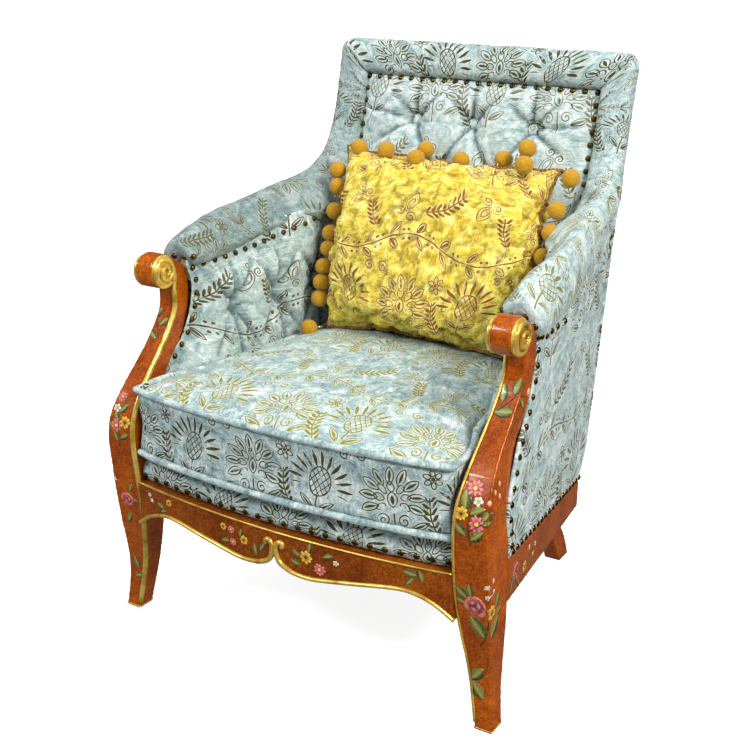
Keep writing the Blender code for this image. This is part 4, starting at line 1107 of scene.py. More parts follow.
@dataclass(frozen=True)
class ChairLines:
    """Planes and curves that the upholstery shares with the frame."""

    leg_rear: float = 0.050
    side_front: float = 0.366
    side_taper: float = 0.1545
    leg_in: float = 0.3065
    bow: float = 0.0276
    bow_end: float = -0.017
    arm_base: float = 0.606
    arm_slope: float = 0.155
    arm_roll: float = 0.055
    arm_front: float = 0.156
    sweep_radius: float = 0.140
    rake: float = math.radians(13.4)
    back_y: float = 0.530
    back_z: float = 0.270
    back_rise: float = 0.700
    back_thick: float = 0.070
    back_half: float = 0.308
    border_side: float = 0.070
    border_top: float = 0.067
    cover: float = 0.006
    back_pad: float = 0.080
    arm_pad: float = 0.0812
    deck_low: float = 0.2842
    deck_top: float = 0.3115
    apron_top: float = 0.270
    gap: float = 0.0003

    def side_x(self, y: float) -> float:
        """Half width of the outer side plane."""
        return self.side_front - self.side_taper * (y - self.leg_rear)

    def bow_y(self, x: float) -> float:
        """Bowed front line in plan."""
        return self.bow_end - self.bow * (1.0 - (x / self.leg_in) ** 2)

    def arm_line(self, y: float) -> float:
        """Height of the nailed line under the arm roll."""
        return self.arm_base + self.arm_slope * y

    def rail_top(self, y: float) -> float:
        """Height of the side rail's top edge."""
        return blend(0.280, 0.222, (y - self.leg_rear) / (0.480 - self.leg_rear))

    def back_point(self, x: float, rise: float, depth: float) -> Vector:
        """A point of the raked back."""
        return Vector((x, self.back_y + rise * math.sin(self.rake) - depth * math.cos(self.rake),
                       self.back_z + rise * math.cos(self.rake) + depth * math.sin(self.rake)))

    def back_at(self, z: float, depth: float) -> float:
        """Depth coordinate of the raked plane at a height."""
        return self.back_y + (z - self.back_z) * math.tan(self.rake) - depth / math.cos(self.rake)

    def rise_at(self, z: float, depth: float) -> float:
        """Rise along the rake of the raked plane at a height."""
        return (z - self.back_z - depth * math.sin(self.rake)) / math.cos(self.rake)

    def on_rake(self, point: Vector) -> tuple[float, float, float]:
        """Gives x, rise and depth of a point in the back's own axes."""
        y, z = point.y - self.back_y, point.z - self.back_z
        return (point.x, y * math.sin(self.rake) + z * math.cos(self.rake),
                z * math.sin(self.rake) - y * math.cos(self.rake))

    def cornered(self, point: Vector, radius: float, tuck: float) -> Vector:
        """Rounds the back's upper outer corners.

        Args:
            point: A point of the back's border.
            radius: Radius of the corner.
            tuck: How far the side is drawn in there.

        Returns:
            The point, moved in where the corner is cut.
        """
        x, rise, depth = self.on_rake(point)
        half = self.back_half - tuck
        over_x, over_rise = abs(x) - half + radius, rise - self.back_rise + radius
        if over_x <= 0.0 or over_rise <= 0.0:
            return point
        shrink = max(over_x, over_rise) / math.hypot(over_x, over_rise)
        reach = half - radius + over_x * shrink
        return self.back_point(math.copysign(reach, x), self.back_rise - radius + over_rise * shrink, depth)

    def forward(self) -> Vector:
        """Direction in which the raked back faces."""
        return Vector((0.0, -math.cos(self.rake), math.sin(self.rake)))

    def inward(self) -> Vector:
        """Direction in which the right arm's inner side faces."""
        return Vector((-1.0, -self.side_taper, 0.0)).normalized()

    def post_front(self) -> list[Vector]:
        """Front edge of leg and post as (y, z)."""
        return smooth_line([(0.0, 0.0), (0.006, 0.090), (-0.004, 0.170), (-0.017, 0.270), (-0.022, 0.365),
                            (0.010, 0.425), (0.073, 0.492), (0.109, 0.540), (0.113, 0.578)], 5)

    def post_rear(self) -> list[Vector]:
        """Rear edge of leg and post as (y, z)."""
        return smooth_line([(0.035, 0.0), (0.048, 0.090), (0.050, 0.170), (0.050, 0.300), (0.042, 0.365),
                            (0.080, 0.445), (0.128, 0.500), (0.152, 0.570), (0.142, 0.618)], 5)

    def leg_inner(self) -> list[Vector]:
        """Inner face of leg and post as (x, z)."""
        return smooth_line([(0.342, 0.0), (0.323, 0.110), (0.3105, 0.190), (0.3065, 0.240), (0.3075, 0.365),
                            (0.313, 0.480), (0.317, 0.678)], 5)

    def leg_outer(self) -> list[Vector]:
        """Outer face of leg and post as (x, z)."""
        return smooth_line([(0.372, 0.0), (0.364, 0.080), (0.366, 0.200), (0.363, 0.365), (0.351, 0.480),
                            (0.351, 0.678)], 5)


LINES = ChairLines()
POST_FRONT = LINES.post_front()
POST_REAR = LINES.post_rear()
LEG_INNER = LINES.leg_inner()
LEG_OUTER = LINES.leg_outer()


def gathers(x: float, y: float, places: Sequence[Pair]) -> tuple[float, float, float]:
    """Form of the cloth round the nearest of several buttons.

    Args:
        x: First coordinate of the place.
        y: Second coordinate of the place.
        places: Where the buttons are.

    Returns:
        Narrow dip at the button, broad dip round it, and small folds that run out from it.
    """
    across, up = min(((x - a, y - b) for a, b in places), key=lambda step: math.hypot(*step))
    far = math.hypot(across, up)
    turn = math.atan2(up, across)
    star = (0.5 + 0.5 * math.cos(9.0 * turn + 1.3 * math.sin(2.0 * turn + 1.0))) ** 3
    star *= math.exp(-((far - 0.016) / 0.020) ** 2)
    return math.exp(-(far / 0.016) ** 2), max(0.0, 1.0 - far / 0.068) ** 2, star


def crease(x: float, y: float, start: Pair, end: Pair, width: float) -> float:
    """Strength of a crease at a place, 1 on its line.

    Args:
        x: First coordinate of the place.
        y: Second coordinate of the place.
        start: Where the crease starts, at full strength.
        end: Where it has faded.
        width: Half width at the start.

    Returns:
        Strength from 0 to 1.
    """
    dx, dy = end[0] - start[0], end[1] - start[1]
    share = ((x - start[0]) * dx + (y - start[1]) * dy) / (dx * dx + dy * dy)
    share = min(max(share, 0.0), 1.0)
    far = math.hypot(x - start[0] - dx * share, y - start[1] - dy * share)
    return math.exp(-(far / width) ** 2) * (1.0 - 0.75 * share)


def taut(rise: float, a: float, b: float) -> float:
    """Swell of a taut panel at a place, flat at its edges."""
    return rise * (1.0 - (2.0 * a - 1.0) ** 4) * (1.0 - (2.0 * b - 1.0) ** 4)


@dataclass(frozen=True)
class Tufting:
    """Depths of a tufted cover's dips, folds and gathers, half width of its folds, and its buttons."""

    dip: float
    broad: float
    fold: float
    star: float
    width: float
    button: float = 0.0115
    button_rise: float = 0.0060
    button_foot: float = 0.004

    def drawn(self, full: float, x: float, y: float, places: Sequence[Pair],
              folds: Sequence[tuple[Pair, Pair]]) -> float:
        """Draws a full cover in at its buttons and pleats.

        Args:
            full: Depth of the cover before it is drawn in.
            x: First coordinate of the place.
            y: Second coordinate of the place.
            places: Where the buttons are.
            folds: Lines of the pleats.

        Returns:
            Depth of the cover at the place.
        """
        dip, broad, star = gathers(x, y, places)
        fold = max(crease(x, y, start, end, self.width) for start, end in folds)
        return full - self.dip * dip - self.broad * broad - self.fold * fold - self.star * star

    def covered(self, place: Vector, facing: Vector) -> Shape:
        """One covered button."""
        return dome(place, facing, self.button, self.button_rise, 5, 20, self.button_foot)


# Show-wood frame


@dataclass
class ShowWood:
    """Painted legs, posts, apron and rails with eased edges."""

    voxel: float = 0.0018
    rounds: int = 7
    nodes: tuple[str, ...] = ("front_post_left", "front_post_right", "front_apron", "side_rail_left",
                              "side_rail_right", "rear_post_left", "rear_post_right")
    trees: dict[str, BVHTree] = field(default_factory=dict)

    def eased(self, source: bpy.types.Object, name: str) -> bpy.types.Object:
        """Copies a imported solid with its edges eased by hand-sanding.

        Args:
            source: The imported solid.
            name: Name of the copy.

        Returns:
            The copy.
        """
        obj = bpy.data.objects.new(name, source.data.copy())
        bpy.context.scene.collection.objects.link(obj)
        remesh = obj.modifiers.new("even", "REMESH")
        remesh.mode = "VOXEL"
        remesh.voxel_size = self.voxel
        soften = obj.modifiers.new("soften", "SMOOTH")
        soften.factor = 0.5
        soften.iterations = self.rounds
        bpy.context.view_layer.update()
        graph = bpy.context.evaluated_depsgraph_get()
        mesh = bpy.data.meshes.new_from_object(obj.evaluated_get(graph))
        obj.modifiers.clear()
        obj.data = mesh
        mesh.name = name
        mesh.shade_smooth()
        return obj

    def build(self, nodes: dict[str, bpy.types.Object]) -> None:
        """Builds and dresses every painted member."""
        for node in self.nodes:
            name = node + "_painted"
            obj = self.eased(nodes[node], name)
            # The apron takes the darker lacquer, which paints the shade under the nose roll.
            finish = SHADED_APRON_LACQUER if node == "front_apron" else LACQUER
            Piece(name, finish, slot=Slot.PAINT, stands_for=[node]).dress(obj)
            corners = [vertex.co + Vector((0.0, DEPTH_MIDDLE, 0.0)) for vertex in obj.data.vertices]
            self.trees[node] = BVHTree.FromPolygons(corners, [face.vertices for face in obj.data.polygons])


@dataclass
class Gilding:
    """Gilt beads, edge lines, volutes and scroll spirals on the painted frame."""

    bead: float = 0.0038
    line: float = 0.0016
    edge: float = 0.0046
    boss: float = 0.0105
    spiral_turns: float = 2.1
    spiral_steps: int = 110
    spiral_start: float = -0.9
    spiral_edge: float = 0.0038
    spiral_eye: float = 0.0015
    spiral_proud: float = 0.0012
    spiral_thick: float = 0.0042
    spiral_thin: float = 0.0012
    scroll: Triple = (0.088, 0.618, 0.030)
    sunk: float = 0.0008
    foot_low: Pair = (0.3418, 0.0008)
    foot_high: Pair = (0.3712, 0.0352)
    foot_z: float = 0.0035

    def apron_low(self) -> list[Vector]:
        """Lower edge of the apron as (x, z), from the middle to the leg."""
        return smooth_line([(0.034, 0.205), (0.070, 0.203), (0.135, 0.213), (0.215, 0.225), (0.252, 0.222),
                            (0.282, 0.210), (0.3105, 0.190)], 8)

    def on_bow(self, x: float, z: float, proud: float) -> Vector:
        """A point just in front of the apron's bowed face."""
        return Vector((x, LINES.bow_y(x) - proud, z))

    def apron_bead(self) -> Shape:
        """Bead along the apron's lower edge that ends in a volute at the middle."""
        hook = smooth_line([(0.0135, 0.2438), (0.0168, 0.2462), (0.0160, 0.2510), (0.0105, 0.2525),
                            (0.0050, 0.2470), (0.0034, 0.2360), (0.0058, 0.2245), (0.0140, 0.2140),
                            (0.034, 0.205)], 6)
        flat = hook[:-1] + self.apron_low()
        points = [self.on_bow(point.x, point.y + 0.001, 0.0006) for point in flat]

        def thick(share: float) -> float:
            """Swells along the volute and thins toward the leg."""
            return self.bead * (1.0 + 0.25 * math.sin(math.pi * min(share * 4.0, 1.0)) - 0.15 * share)

        return swept(along_line(points, 0.004), thick, 10)

    def apron_line(self) -> Shape:
        """Thin line along the apron's top edge."""
        reach = at_height(LEG_INNER, LINES.apron_top)
        points = [self.on_bow(blend(-reach, reach, step / 60.0), LINES.apron_top - 0.0010, 0.0)
                  for step in range(61)]
        return swept(points, self.line, 8)

    def post_edge(self) -> Shape:
        """Gilded chamfer up the inner front edge of the right leg and post."""
        points, facing = [], []
        for point in POST_FRONT:
            if point.y < 0.004:
                continue
            points.append(Vector((at_height(LEG_INNER, point.y) + 0.0010, point.x + 0.0010, point.y)))
            facing.append(Vector((-0.7, -0.7, 0.0)))
        for y, z in smooth_line([(0.113, 0.578), (0.1172, 0.596), (0.1172, 0.612), (0.1130, 0.630)], 5)[1:]:
            points.append(Vector((at_height(LEG_INNER, z), y, z)))
            facing.append(Vector((-1.0, 0.0, 0.0)))

        def half(share: float) -> float:
            """Tapers where the strip runs into the spiral."""
            return self.edge * (1.0 - 0.7 * ease(0.90, 1.0, share))

        return swept(points, half, 8, facing=facing, flat=0.4)

    def foot_line(self) -> Shape:
        """Thin line round the right front foot."""
        (left, front), (right, rear) = self.foot_low, self.foot_high
        corners = [(left, front), (right, front), (right, rear), (left, rear)]
        points = [Vector((x, y, self.foot_z)) for x, y in corners]
        return swept(along_line(points + points[:1], 0.003)[:-1], self.line, 6, closed=True)

    def spiral(self, x: float, way: float) -> Shape:
        """Raised spiral on one end of the right scroll.

        Args:
            x: Place of the scroll's end face.
            way: Direction in which that face looks along X.

        Returns:
            The spiral on its domed ground.
        """
        y, z, radius = self.scroll
        shape = Shape()
        points = []
        for step in range(self.spiral_steps + 1):
            share = step / self.spiral_steps
            angle = self.spiral_start - math.tau * self.spiral_turns * share
            reach = (radius - self.spiral_edge) * (1.0 - share) ** 0.9 + self.spiral_eye
            rise = self.spiral_proud + self.boss * (1.0 - (reach / radius) ** 2)
            points.append(Vector((x + way * rise, y + reach * math.cos(angle), z + reach * math.sin(angle))))
        shape.join(swept(points, lambda share: self.spiral_thick - self.spiral_thin * share, 8))
        shape.join(dome(Vector((x, y, z)), Vector((way, 0.0, 0.0)), radius - 0.0015, self.boss - 0.0035,
                        7, 32))
        return shape

    def build(self) -> None:
        """Builds the gilding as one piece."""
        shape = self.apron_line()
        for right in (self.apron_bead(), self.post_edge(), self.foot_line(),
                      self.spiral(at_height(LEG_OUTER, self.scroll[1]) - self.sunk, 1.0),
                      self.spiral(at_height(LEG_INNER, self.scroll[1]) + self.sunk, -1.0)):
            shape.join(right)
            shape.join(right.mirrored())
        Piece("gilding", GILT, slot=Slot.PAINT).make(shape)


@dataclass
class PaintedFlowers:
    """Roses, daisies, buds and leaves painted on the frame where the camera finds it."""

    wood: ShowWood
    camera: "Studio"
    lift: float = 0.00025
    above: float = 0.012
    search: float = 0.03
    stem: float = 0.0009
    stem_step: float = 0.0025
    scale: float = 1.28
    seed: int = 11
    parts: tuple[tuple[Bloom, Pair, float, float], ...] = (
        (PINK, (475.6, 488.3), 0.0095, 0.0), (WHITE, (478.4, 501.6), 0.0060, 0.0),
        (LEAF, (465.7, 499.9), 0.0260, 100.0), (YELLOW, (461.2, 513.7), 0.0080, 0.0),
        (LEAF, (476.9, 512.0), 0.0220, 30.0), (PINK, (476.4, 524.8), 0.0098, 20.0),
        (LEAF, (487.2, 517.3), 0.0180, 48.0), (LEAF, (487.5, 525.0), 0.0140, 5.0),
        (LEAF, (459.9, 528.9), 0.0220, 140.0), (LEAF, (476.4, 537.2), 0.0220, 42.0),
        (BUD, (499.7, 484.1), 0.0030, 80.0), (BUD, (495.5, 493.3), 0.0030, 80.0),
        (BUD, (499.7, 496.6), 0.0030, 80.0), (BUD, (489.7, 504.0), 0.0030, 80.0),
        (ROSE, (515.9, 570.4), 0.0110, 0.0), (YELLOW, (524.6, 566.2), 0.0075, 0.0),
        (LEAF, (511.3, 585.0), 0.0230, 250.0), (LEAF, (518.0, 581.0), 0.0170, 292.0),
        (WHITE, (529.5, 547.2), 0.0030, 0.0), (WHITE, (535.3, 543.0), 0.0032, 0.0),
        (WHITE, (532.8, 553.0), 0.0030, 0.0), (LEAF, (529.5, 559.5), 0.0150, 45.0),
        (LEAF, (461.5, 592.0), 0.0220, 140.0), (LEAF, (469.8, 591.1), 0.0180, 100.0),
        (LEAF, (461.5, 600.2), 0.0180, 165.0), (ROSE, (475.1, 606.4), 0.0145, 15.0),
        (YELLOW, (491.7, 612.7), 0.0085, 0.0), (BUD, (493.5, 581.5), 0.0032, 90.0),
        (WHITE, (488.9, 588.6), 0.0030, 0.0), (BUD, (493.8, 591.9), 0.0032, 90.0),
        (WHITE, (487.5, 598.6), 0.0030, 0.0), (LEAF, (497.0, 600.2), 0.0200, 65.0),
        (LEAF, (498.4, 610.2), 0.0150, 30.0), (LEAF, (478.1, 627.6), 0.0340, 125.0),
        (LEAF, (493.8, 627.6), 0.0310, 55.0), (LEAF, (477.3, 674.0), 0.0270, 50.0),
        (LEAF, (477.3, 689.8), 0.0290, 310.0), (LEAF, (503.7, 392.6), 0.0240, 102.0),
        (LEAF, (518.1, 387.0), 0.0220, 80.0), (LEAF, (503.7, 412.2), 0.0260, 10.0),
        (LEAF, (521.9, 403.1), 0.0150, 300.0), (BUD, (528.2, 392.6), 0.0045, 80.0),
        (LEAF, (157.9, 313.4), 0.0210, 70.0), (LEAF, (163.5, 321.8), 0.0180, 52.0),
        (LEAF, (152.8, 334.1), 0.0190, 150.0), (PINK, (123.0, 396.5), 0.0070, 0.0),
        (WHITE, (117.6, 407.6), 0.0055, 0.0), (LEAF, (124.0, 408.3), 0.0190, 50.0),
        (LEAF, (116.8, 416.0), 0.0160, 120.0), (YELLOW, (125.0, 422.6), 0.0085, 0.0),
        (PINK, (116.3, 425.2), 0.0092, 0.0), (LEAF, (116.3, 435.9), 0.0160, 120.0),
        (LEAF, (124.0, 436.6), 0.0160, 30.0), (ROSE, (127.4, 498.7), 0.0105, 0.0),
        (LEAF, (130.3, 488.4), 0.0140, 70.0), (LEAF, (134.9, 501.0), 0.0110, 0.0),
        (LEAF, (129.8, 517.1), 0.0180, 60.0), (LEAF, (137.2, 561.9), 0.0200, 110.0),
        (LEAF, (139.5, 574.5), 0.0150, 200.0), (WHITE, (149.8, 494.6), 0.0030, 0.0),
        (WHITE, (152.1, 500.4), 0.0030, 0.0), (LEAF, (160.2, 505.6), 0.0140, 340.0),
        (YELLOW, (168.7, 503.0), 0.0050, 0.0), (LEAF, (163.6, 511.4), 0.0110, 20.0),
        (YELLOW, (223.3, 526.1), 0.0048, 0.0), (PINK, (230.9, 529.4), 0.0052, 0.0),
        (YELLOW, (244.0, 540.1), 0.0060, 0.0), (PINK, (233.2, 541.7), 0.0052, 0.0),
        (LEAF, (225.6, 540.1), 0.0130, 10.0), (LEAF, (240.5, 533.2), 0.0110, 80.0),
        (LEAF, (255.6, 549.2), 0.0160, 100.0), (LEAF, (262.3, 547.0), 0.0140, 60.0),
        (YELLOW, (305.9, 557.3), 0.0088, 0.0), (LEAF, (296.8, 552.7), 0.0150, 150.0),
        (LEAF, (295.6, 561.9), 0.0150, 165.0), (LEAF, (309.4, 547.9), 0.0140, 80.0),
        (PINK, (319.3, 569.9), 0.0080, 0.0), (LEAF, (327.8, 557.1), 0.0150, 20.0),
        (WHITE, (335.8, 563.7), 0.0038, 0.0), (LEAF, (410.4, 573.2), 0.0180, 170.0),
        (LEAF, (420.7, 576.6), 0.0160, 290.0), (LEAF, (409.3, 581.4), 0.0140, 230.0),
    )
    stems: tuple[tuple[Pair, ...], ...] = (
        ((471.0, 546.5), (468.0, 530.0), (470.0, 512.0), (474.0, 496.0)),
        ((468.0, 532.0), (478.0, 527.0), (489.0, 521.0)),
        ((480.6, 645.8), (486.4, 636.7), (489.0, 622.0)), ((486.4, 613.0), (478.0, 600.0)),
        ((488.0, 604.0), (492.5, 590.0)), ((497.3, 410.8), (514.2, 398.2), (526.8, 395.4)),
        ((158.4, 338.7), (156.8, 318.8)), ((120.2, 446.4), (119.0, 428.0), (119.4, 412.7)),
        ((524.0, 572.0), (528.5, 560.0), (533.5, 545.0)),
    )
    greens: tuple[Colour, Colour, Colour] = (srgb(22, 34, 12), srgb(62, 82, 24), srgb(160, 160, 66))

    def cast(self, pixel: Pair) -> Optional[tuple[str, Vector, Vector]]:
        """Finds where the camera sees the frame at a pixel.

        Args:
            pixel: Place in the picture.

        Returns:
            Node, place and normal, or None where the frame isn't seen.
        """
        start, way = self.camera.ray(pixel)
        found = None
        for node, tree in self.wood.trees.items():
            place, normal, _, far = tree.ray_cast(start, way)
            if place is not None and (found is None or far < found[0]):
                found = (far, node, place, normal)
        return found[1:] if found else None

    def laid(self, node: str, place: Vector, normal: Vector, flat: Sequence[Pair],
             level: int) -> list[Vector]:
        """Lays flat points on the frame, seen upright by the camera.

        Args:
            node: Member that carries them.
            place: Where their middle goes.
            normal: Its normal.
            flat: Points across and up.
            level: Layer of paint.

        Returns:
            The points on the frame.
        """
        up = Vector((0.0, 0.0, 1.0))
        up = (up - normal * up.dot(normal)).normalized()
        across = up.cross(normal)
        lift = self.lift * (1.0 + 0.5 * level)
        result = []
        for x, y in flat:
            start = place + across * x + up * y + normal * self.above
            hit, facing, _, _ = self.wood.trees[node].ray_cast(start, -normal, self.search)
            if hit is None:
                hit, facing, _, _ = self.wood.trees[node].find_nearest(place + across * x + up * y)
            result.append(hit + facing * lift)
        return result

    def petal(self, length: float, width: float, degrees: float, blunt: float, start: float,
              colours: Callable[[float, float], Colour]) -> tuple[list[Pair], list[Colour], Faces]:
        """Draws a petal or leaf flat.

        Args:
            length: Its length.
            width: Its half width.
            degrees: Direction in which it points.
            blunt: 1 for a pointed form, less for a rounder one.
            start: Distance of its base from the middle.
            colours: Colour by place along and across it.

        Returns:
            Points, tints and faces.
        """
        long_steps, wide_steps = 7, 4
        cos, sin = math.cos(math.radians(degrees)), math.sin(math.radians(degrees))
        points, tints, faces = [], [], []
        for i in range(long_steps + 1):
            along = i / long_steps
            half = width * max(math.sin(math.pi * min(max(along, 0.02), 0.98)), 0.0) ** blunt
            for j in range(wide_steps + 1):
                side = 2.0 * j / wide_steps - 1.0
                x, y = start + along * length, half * side
                points.append((x * cos - y * sin, x * sin + y * cos))
                tints.append(colours(along, side))
        for i in range(long_steps):
            for j in range(wide_steps):
                a = i * (wide_steps + 1) + j
                faces.append((a, a + wide_steps + 1, a + wide_steps + 2, a + 1))
        return points, tints, faces

    def drawn(self, kind: Bloom, size: float, degrees: float, draw: random.Random) -> list[tuple]:
        """Draws one flower part flat, as layers of petals.

        Args:
            kind: What is drawn.
            size: Radius of a flower, or length of a leaf.
            degrees: Its direction.
            draw: Source of small differences.

        Returns:
            Layers of (level, points, tints, faces).
        """
        dark, green, pale = (Vector(colour) for colour in self.greens)

        def mixed(first: Vector, second: Vector, share: float) -> Colour:
            """Mixes two colours."""
            return tuple(blend(first, second, min(max(share, 0.0), 1.0)))

        def leaf_tint(along: float, side: float) -> Colour:
            """Dark leaf with a lit half and a pale midrib."""
            if abs(side) < 0.1:
                return mixed(green, pale, 0.8)
            return mixed(dark, green if side < 0.0 else pale, 0.25 + 0.6 * (1.0 - abs(side)) * along)

        def shaded(inner: Colour, outer: Colour) -> Callable[[float, float], Colour]:
            """Runs from an inner to an outer colour along a petal."""
            first, second = Vector(inner), Vector(outer)
            return lambda along, side: mixed(first, second, along * 1.1 - 0.25 * abs(side))

        layers = []
        if kind is LEAF:
            return [(0, *self.petal(size, size * 0.29, degrees, 0.9, -size / 2.0, leaf_tint))]
        if kind is BUD:
            tint = shaded(srgb(190, 60, 70), srgb(246, 214, 150))
            return [(1, *self.petal(size * 2.4, size * 0.9, degrees, 0.7, -size * 1.2, tint))]
        rings = {
            ROSE: ((6, 1.0, 0.62, 0.45, srgb(128, 12, 26), srgb(222, 120, 118)),
                   (5, 0.68, 0.46, 0.45, srgb(104, 6, 20), srgb(200, 70, 80)),
                   (3, 0.40, 0.30, 0.45, srgb(80, 4, 14), srgb(232, 160, 150))),
            PINK: ((9, 1.0, 0.26, 0.55, srgb(150, 6, 26), srgb(232, 132, 132)),),
            YELLOW: ((8, 1.0, 0.32, 0.5, srgb(150, 84, 0), srgb(238, 200, 50)),),
            WHITE: ((5, 1.0, 0.42, 0.5, srgb(150, 150, 110), srgb(246, 242, 230)),),
        }[kind]
        for level, (count, reach, wide, blunt, inner, outer) in enumerate(rings):
            for number in range(count):
                turn = degrees + 360.0 * (number + 0.5 * level) / count + draw.uniform(-7.0, 7.0)
                long = size * reach * draw.uniform(0.88, 1.08)
                layers.append((level + number % 2, *self.petal(long, size * wide, turn, blunt, size * 0.04,
                                                               shaded(inner, outer))))
        if kind in (PINK, YELLOW):
            eye = srgb(70, 40, 12) if kind is YELLOW else srgb(236, 200, 80)
            layers.append((3, *self.petal(size * 0.5, size * 0.25, 0.0, 0.4, -size * 0.25,
                                          lambda along, side: eye)))
        return layers

    def build(self) -> None:
        """Paints the flowers, and their twins on the sides that the camera doesn't see."""
        draw = random.Random(self.seed)
        shape = Shape()
        for kind, pixel, size, degrees in self.parts:
            found = self.cast(pixel)
            if not found:
                LOG.warning("no frame at %s", pixel)
                continue
            node, place, normal = found
            part = Shape()
            for level, flat, tints, faces in self.drawn(kind, size * self.scale, degrees, draw):
                part.join(Shape(self.laid(node, place, normal, flat, level), faces, [], tints))
            shape.join(part)
            if normal.x > 0.6 and node.endswith("right"):
                shape.join(part.mirrored())
        for pixels in self.stems:
            hits = [self.cast(pixel) for pixel in pixels]
            hits = [hit for hit in hits if hit]
            if len(hits) < 2:
                continue
            line = along_line(smooth_line([hit[1] for hit in hits], 5), self.stem_step)
            tree = self.wood.trees[hits[0][0]]
            found = [tree.find_nearest(point) for point in line]
            points = [hit[0] + hit[1] * self.lift for hit in found]
            stem = swept(points, self.stem, 6, facing=[hit[1] for hit in found], flat=0.3)
            stem.tints = [self.greens[0]] * len(stem.points)
            shape.join(stem)
        obj = Piece("painted_flowers", FLOWER, slot=Slot.PAINT).make(shape)
        shell = obj.modifiers.new("paint_body", "SOLIDIFY")
        shell.thickness = self.lift * 2.0
        shell.offset = -1.0


# Fixed upholstery


@dataclass
class InsideBack:
    """Button-tufted inside back with soft pleats between its buttons."""

    edge: float = 0.054
    crown: float = 0.024
    step: float = 0.120
    top: float = 0.555
    row: float = 0.100
    inner: float = 0.0456
    tufting: Tufting = Tufting(0.010, 0.015, 0.0100, 0.0040, 0.0055)
    top_pleats: tuple[Pair, ...] = ((0.002, 0.075), (0.05, 0.05), (-0.05, 0.045))
    side_pleats: tuple[Pair, ...] = ((0.215, 0.012), (0.200, -0.050))

    def tufts(self) -> list[Pair]:
        """Places of the buttons as (x, rise)."""
        places = []
        for row, shares in enumerate(((-1.0, 0.0, 1.0), (-0.5, 0.5), (-1.0, 0.0, 1.0))):
            places += [(share * self.step, self.top - row * self.row) for share in shares]
        return places

    def pleats(self) -> list[tuple[Pair, Pair]]:
        """Lines of the pleats between buttons and toward the border."""
        lines = []
        places = self.tufts()
        for first in places:
            for second in places:
                if 0.0 < first[1] - second[1] < 1.2 * self.row and abs(first[0] - second[0]) < self.step:
                    lines += [(first, second), (second, first)]
        for x, rise in places[:3]:
            lines += [((x, rise), (x + across, rise + up)) for across, up in self.top_pleats]
        for side in (-1.0, 1.0):
            for rise in (self.top, self.top - 2.0 * self.row):
                lines += [((side * self.step, rise), (side * across, rise + up))
                          for across, up in self.side_pleats]
        return lines

    def depth(self, x: float, rise: float) -> float:
        """Depth of the front face in front of the rear plane."""
        half = LINES.back_half - LINES.border_side
        low = LINES.rise_at(LINES.deck_low, self.edge)
        high = LINES.back_rise - LINES.border_top
        middle = (2.0 * rise - low - high) / (high - low)
        swell = (1.0 - min(abs(x) / half, 1.0) ** 5) * (1.0 - min(abs(middle), 1.0) ** 8)
        found = self.tufting.drawn(self.edge + self.crown * swell, x, rise, self.places, self.folds)
        return max(found, self.inner + 0.002)

    def build(self) -> None:
        """Builds the pad and its covered buttons."""
        self.places, self.folds = self.tufts(), self.pleats()
        half = LINES.back_half - LINES.border_side - LINES.gap
        low = LINES.rise_at(LINES.deck_low + 0.002, self.inner)
        high = LINES.back_rise - LINES.border_top - LINES.gap

        def place(a: float, b: float, c: float) -> Vector:
            """Places a point of the pad."""
            x, rise = blend(-half, half, a), blend(low, high, b)
            return LINES.back_point(x, rise, blend(self.inner, self.depth(x, rise), c))

        def cloth(a: float, b: float, c: float) -> Triple:
            """Runs the cloth across and up the pad."""
            return (blend(-half, half, a) + 0.145, blend(low, high, b) + 0.06, 0.0)

        box = SoftBox((2.0 * half, high - low, 0.034), 0.0042, ((0.010, 0.010), (0.0, 0.010), (0.0, 0.010)),
                      place, cloth, 0.012)
        shape = self.pad = box.build().rippled(0.0010, 34.0, 3.0).rippled(0.0008, 48.0, 5.0, True)
        # Negative painted shade paints light over the inside back.
        velvet_piece("inside_back_tufted", ["inside_back"], 0.7, (-0.15, -0.15)).make(shape)
        tree = shape.tree()
        buttons = Shape()
        for x, rise in self.tufts():
            start = LINES.back_point(x, rise, 0.2)
            hit = tree.ray_cast(start, -LINES.forward())[0]
            buttons.join(self.tufting.covered(hit, LINES.forward()))
        buttons.cloth = [(point.x * 1.5 + 0.4, point.z * 1.5, 0.0) for point in buttons.points]
        nodes = [f"back_button_{number}" for number in range(1, 9)]
        velvet_piece("back_buttons", nodes).make(buttons)


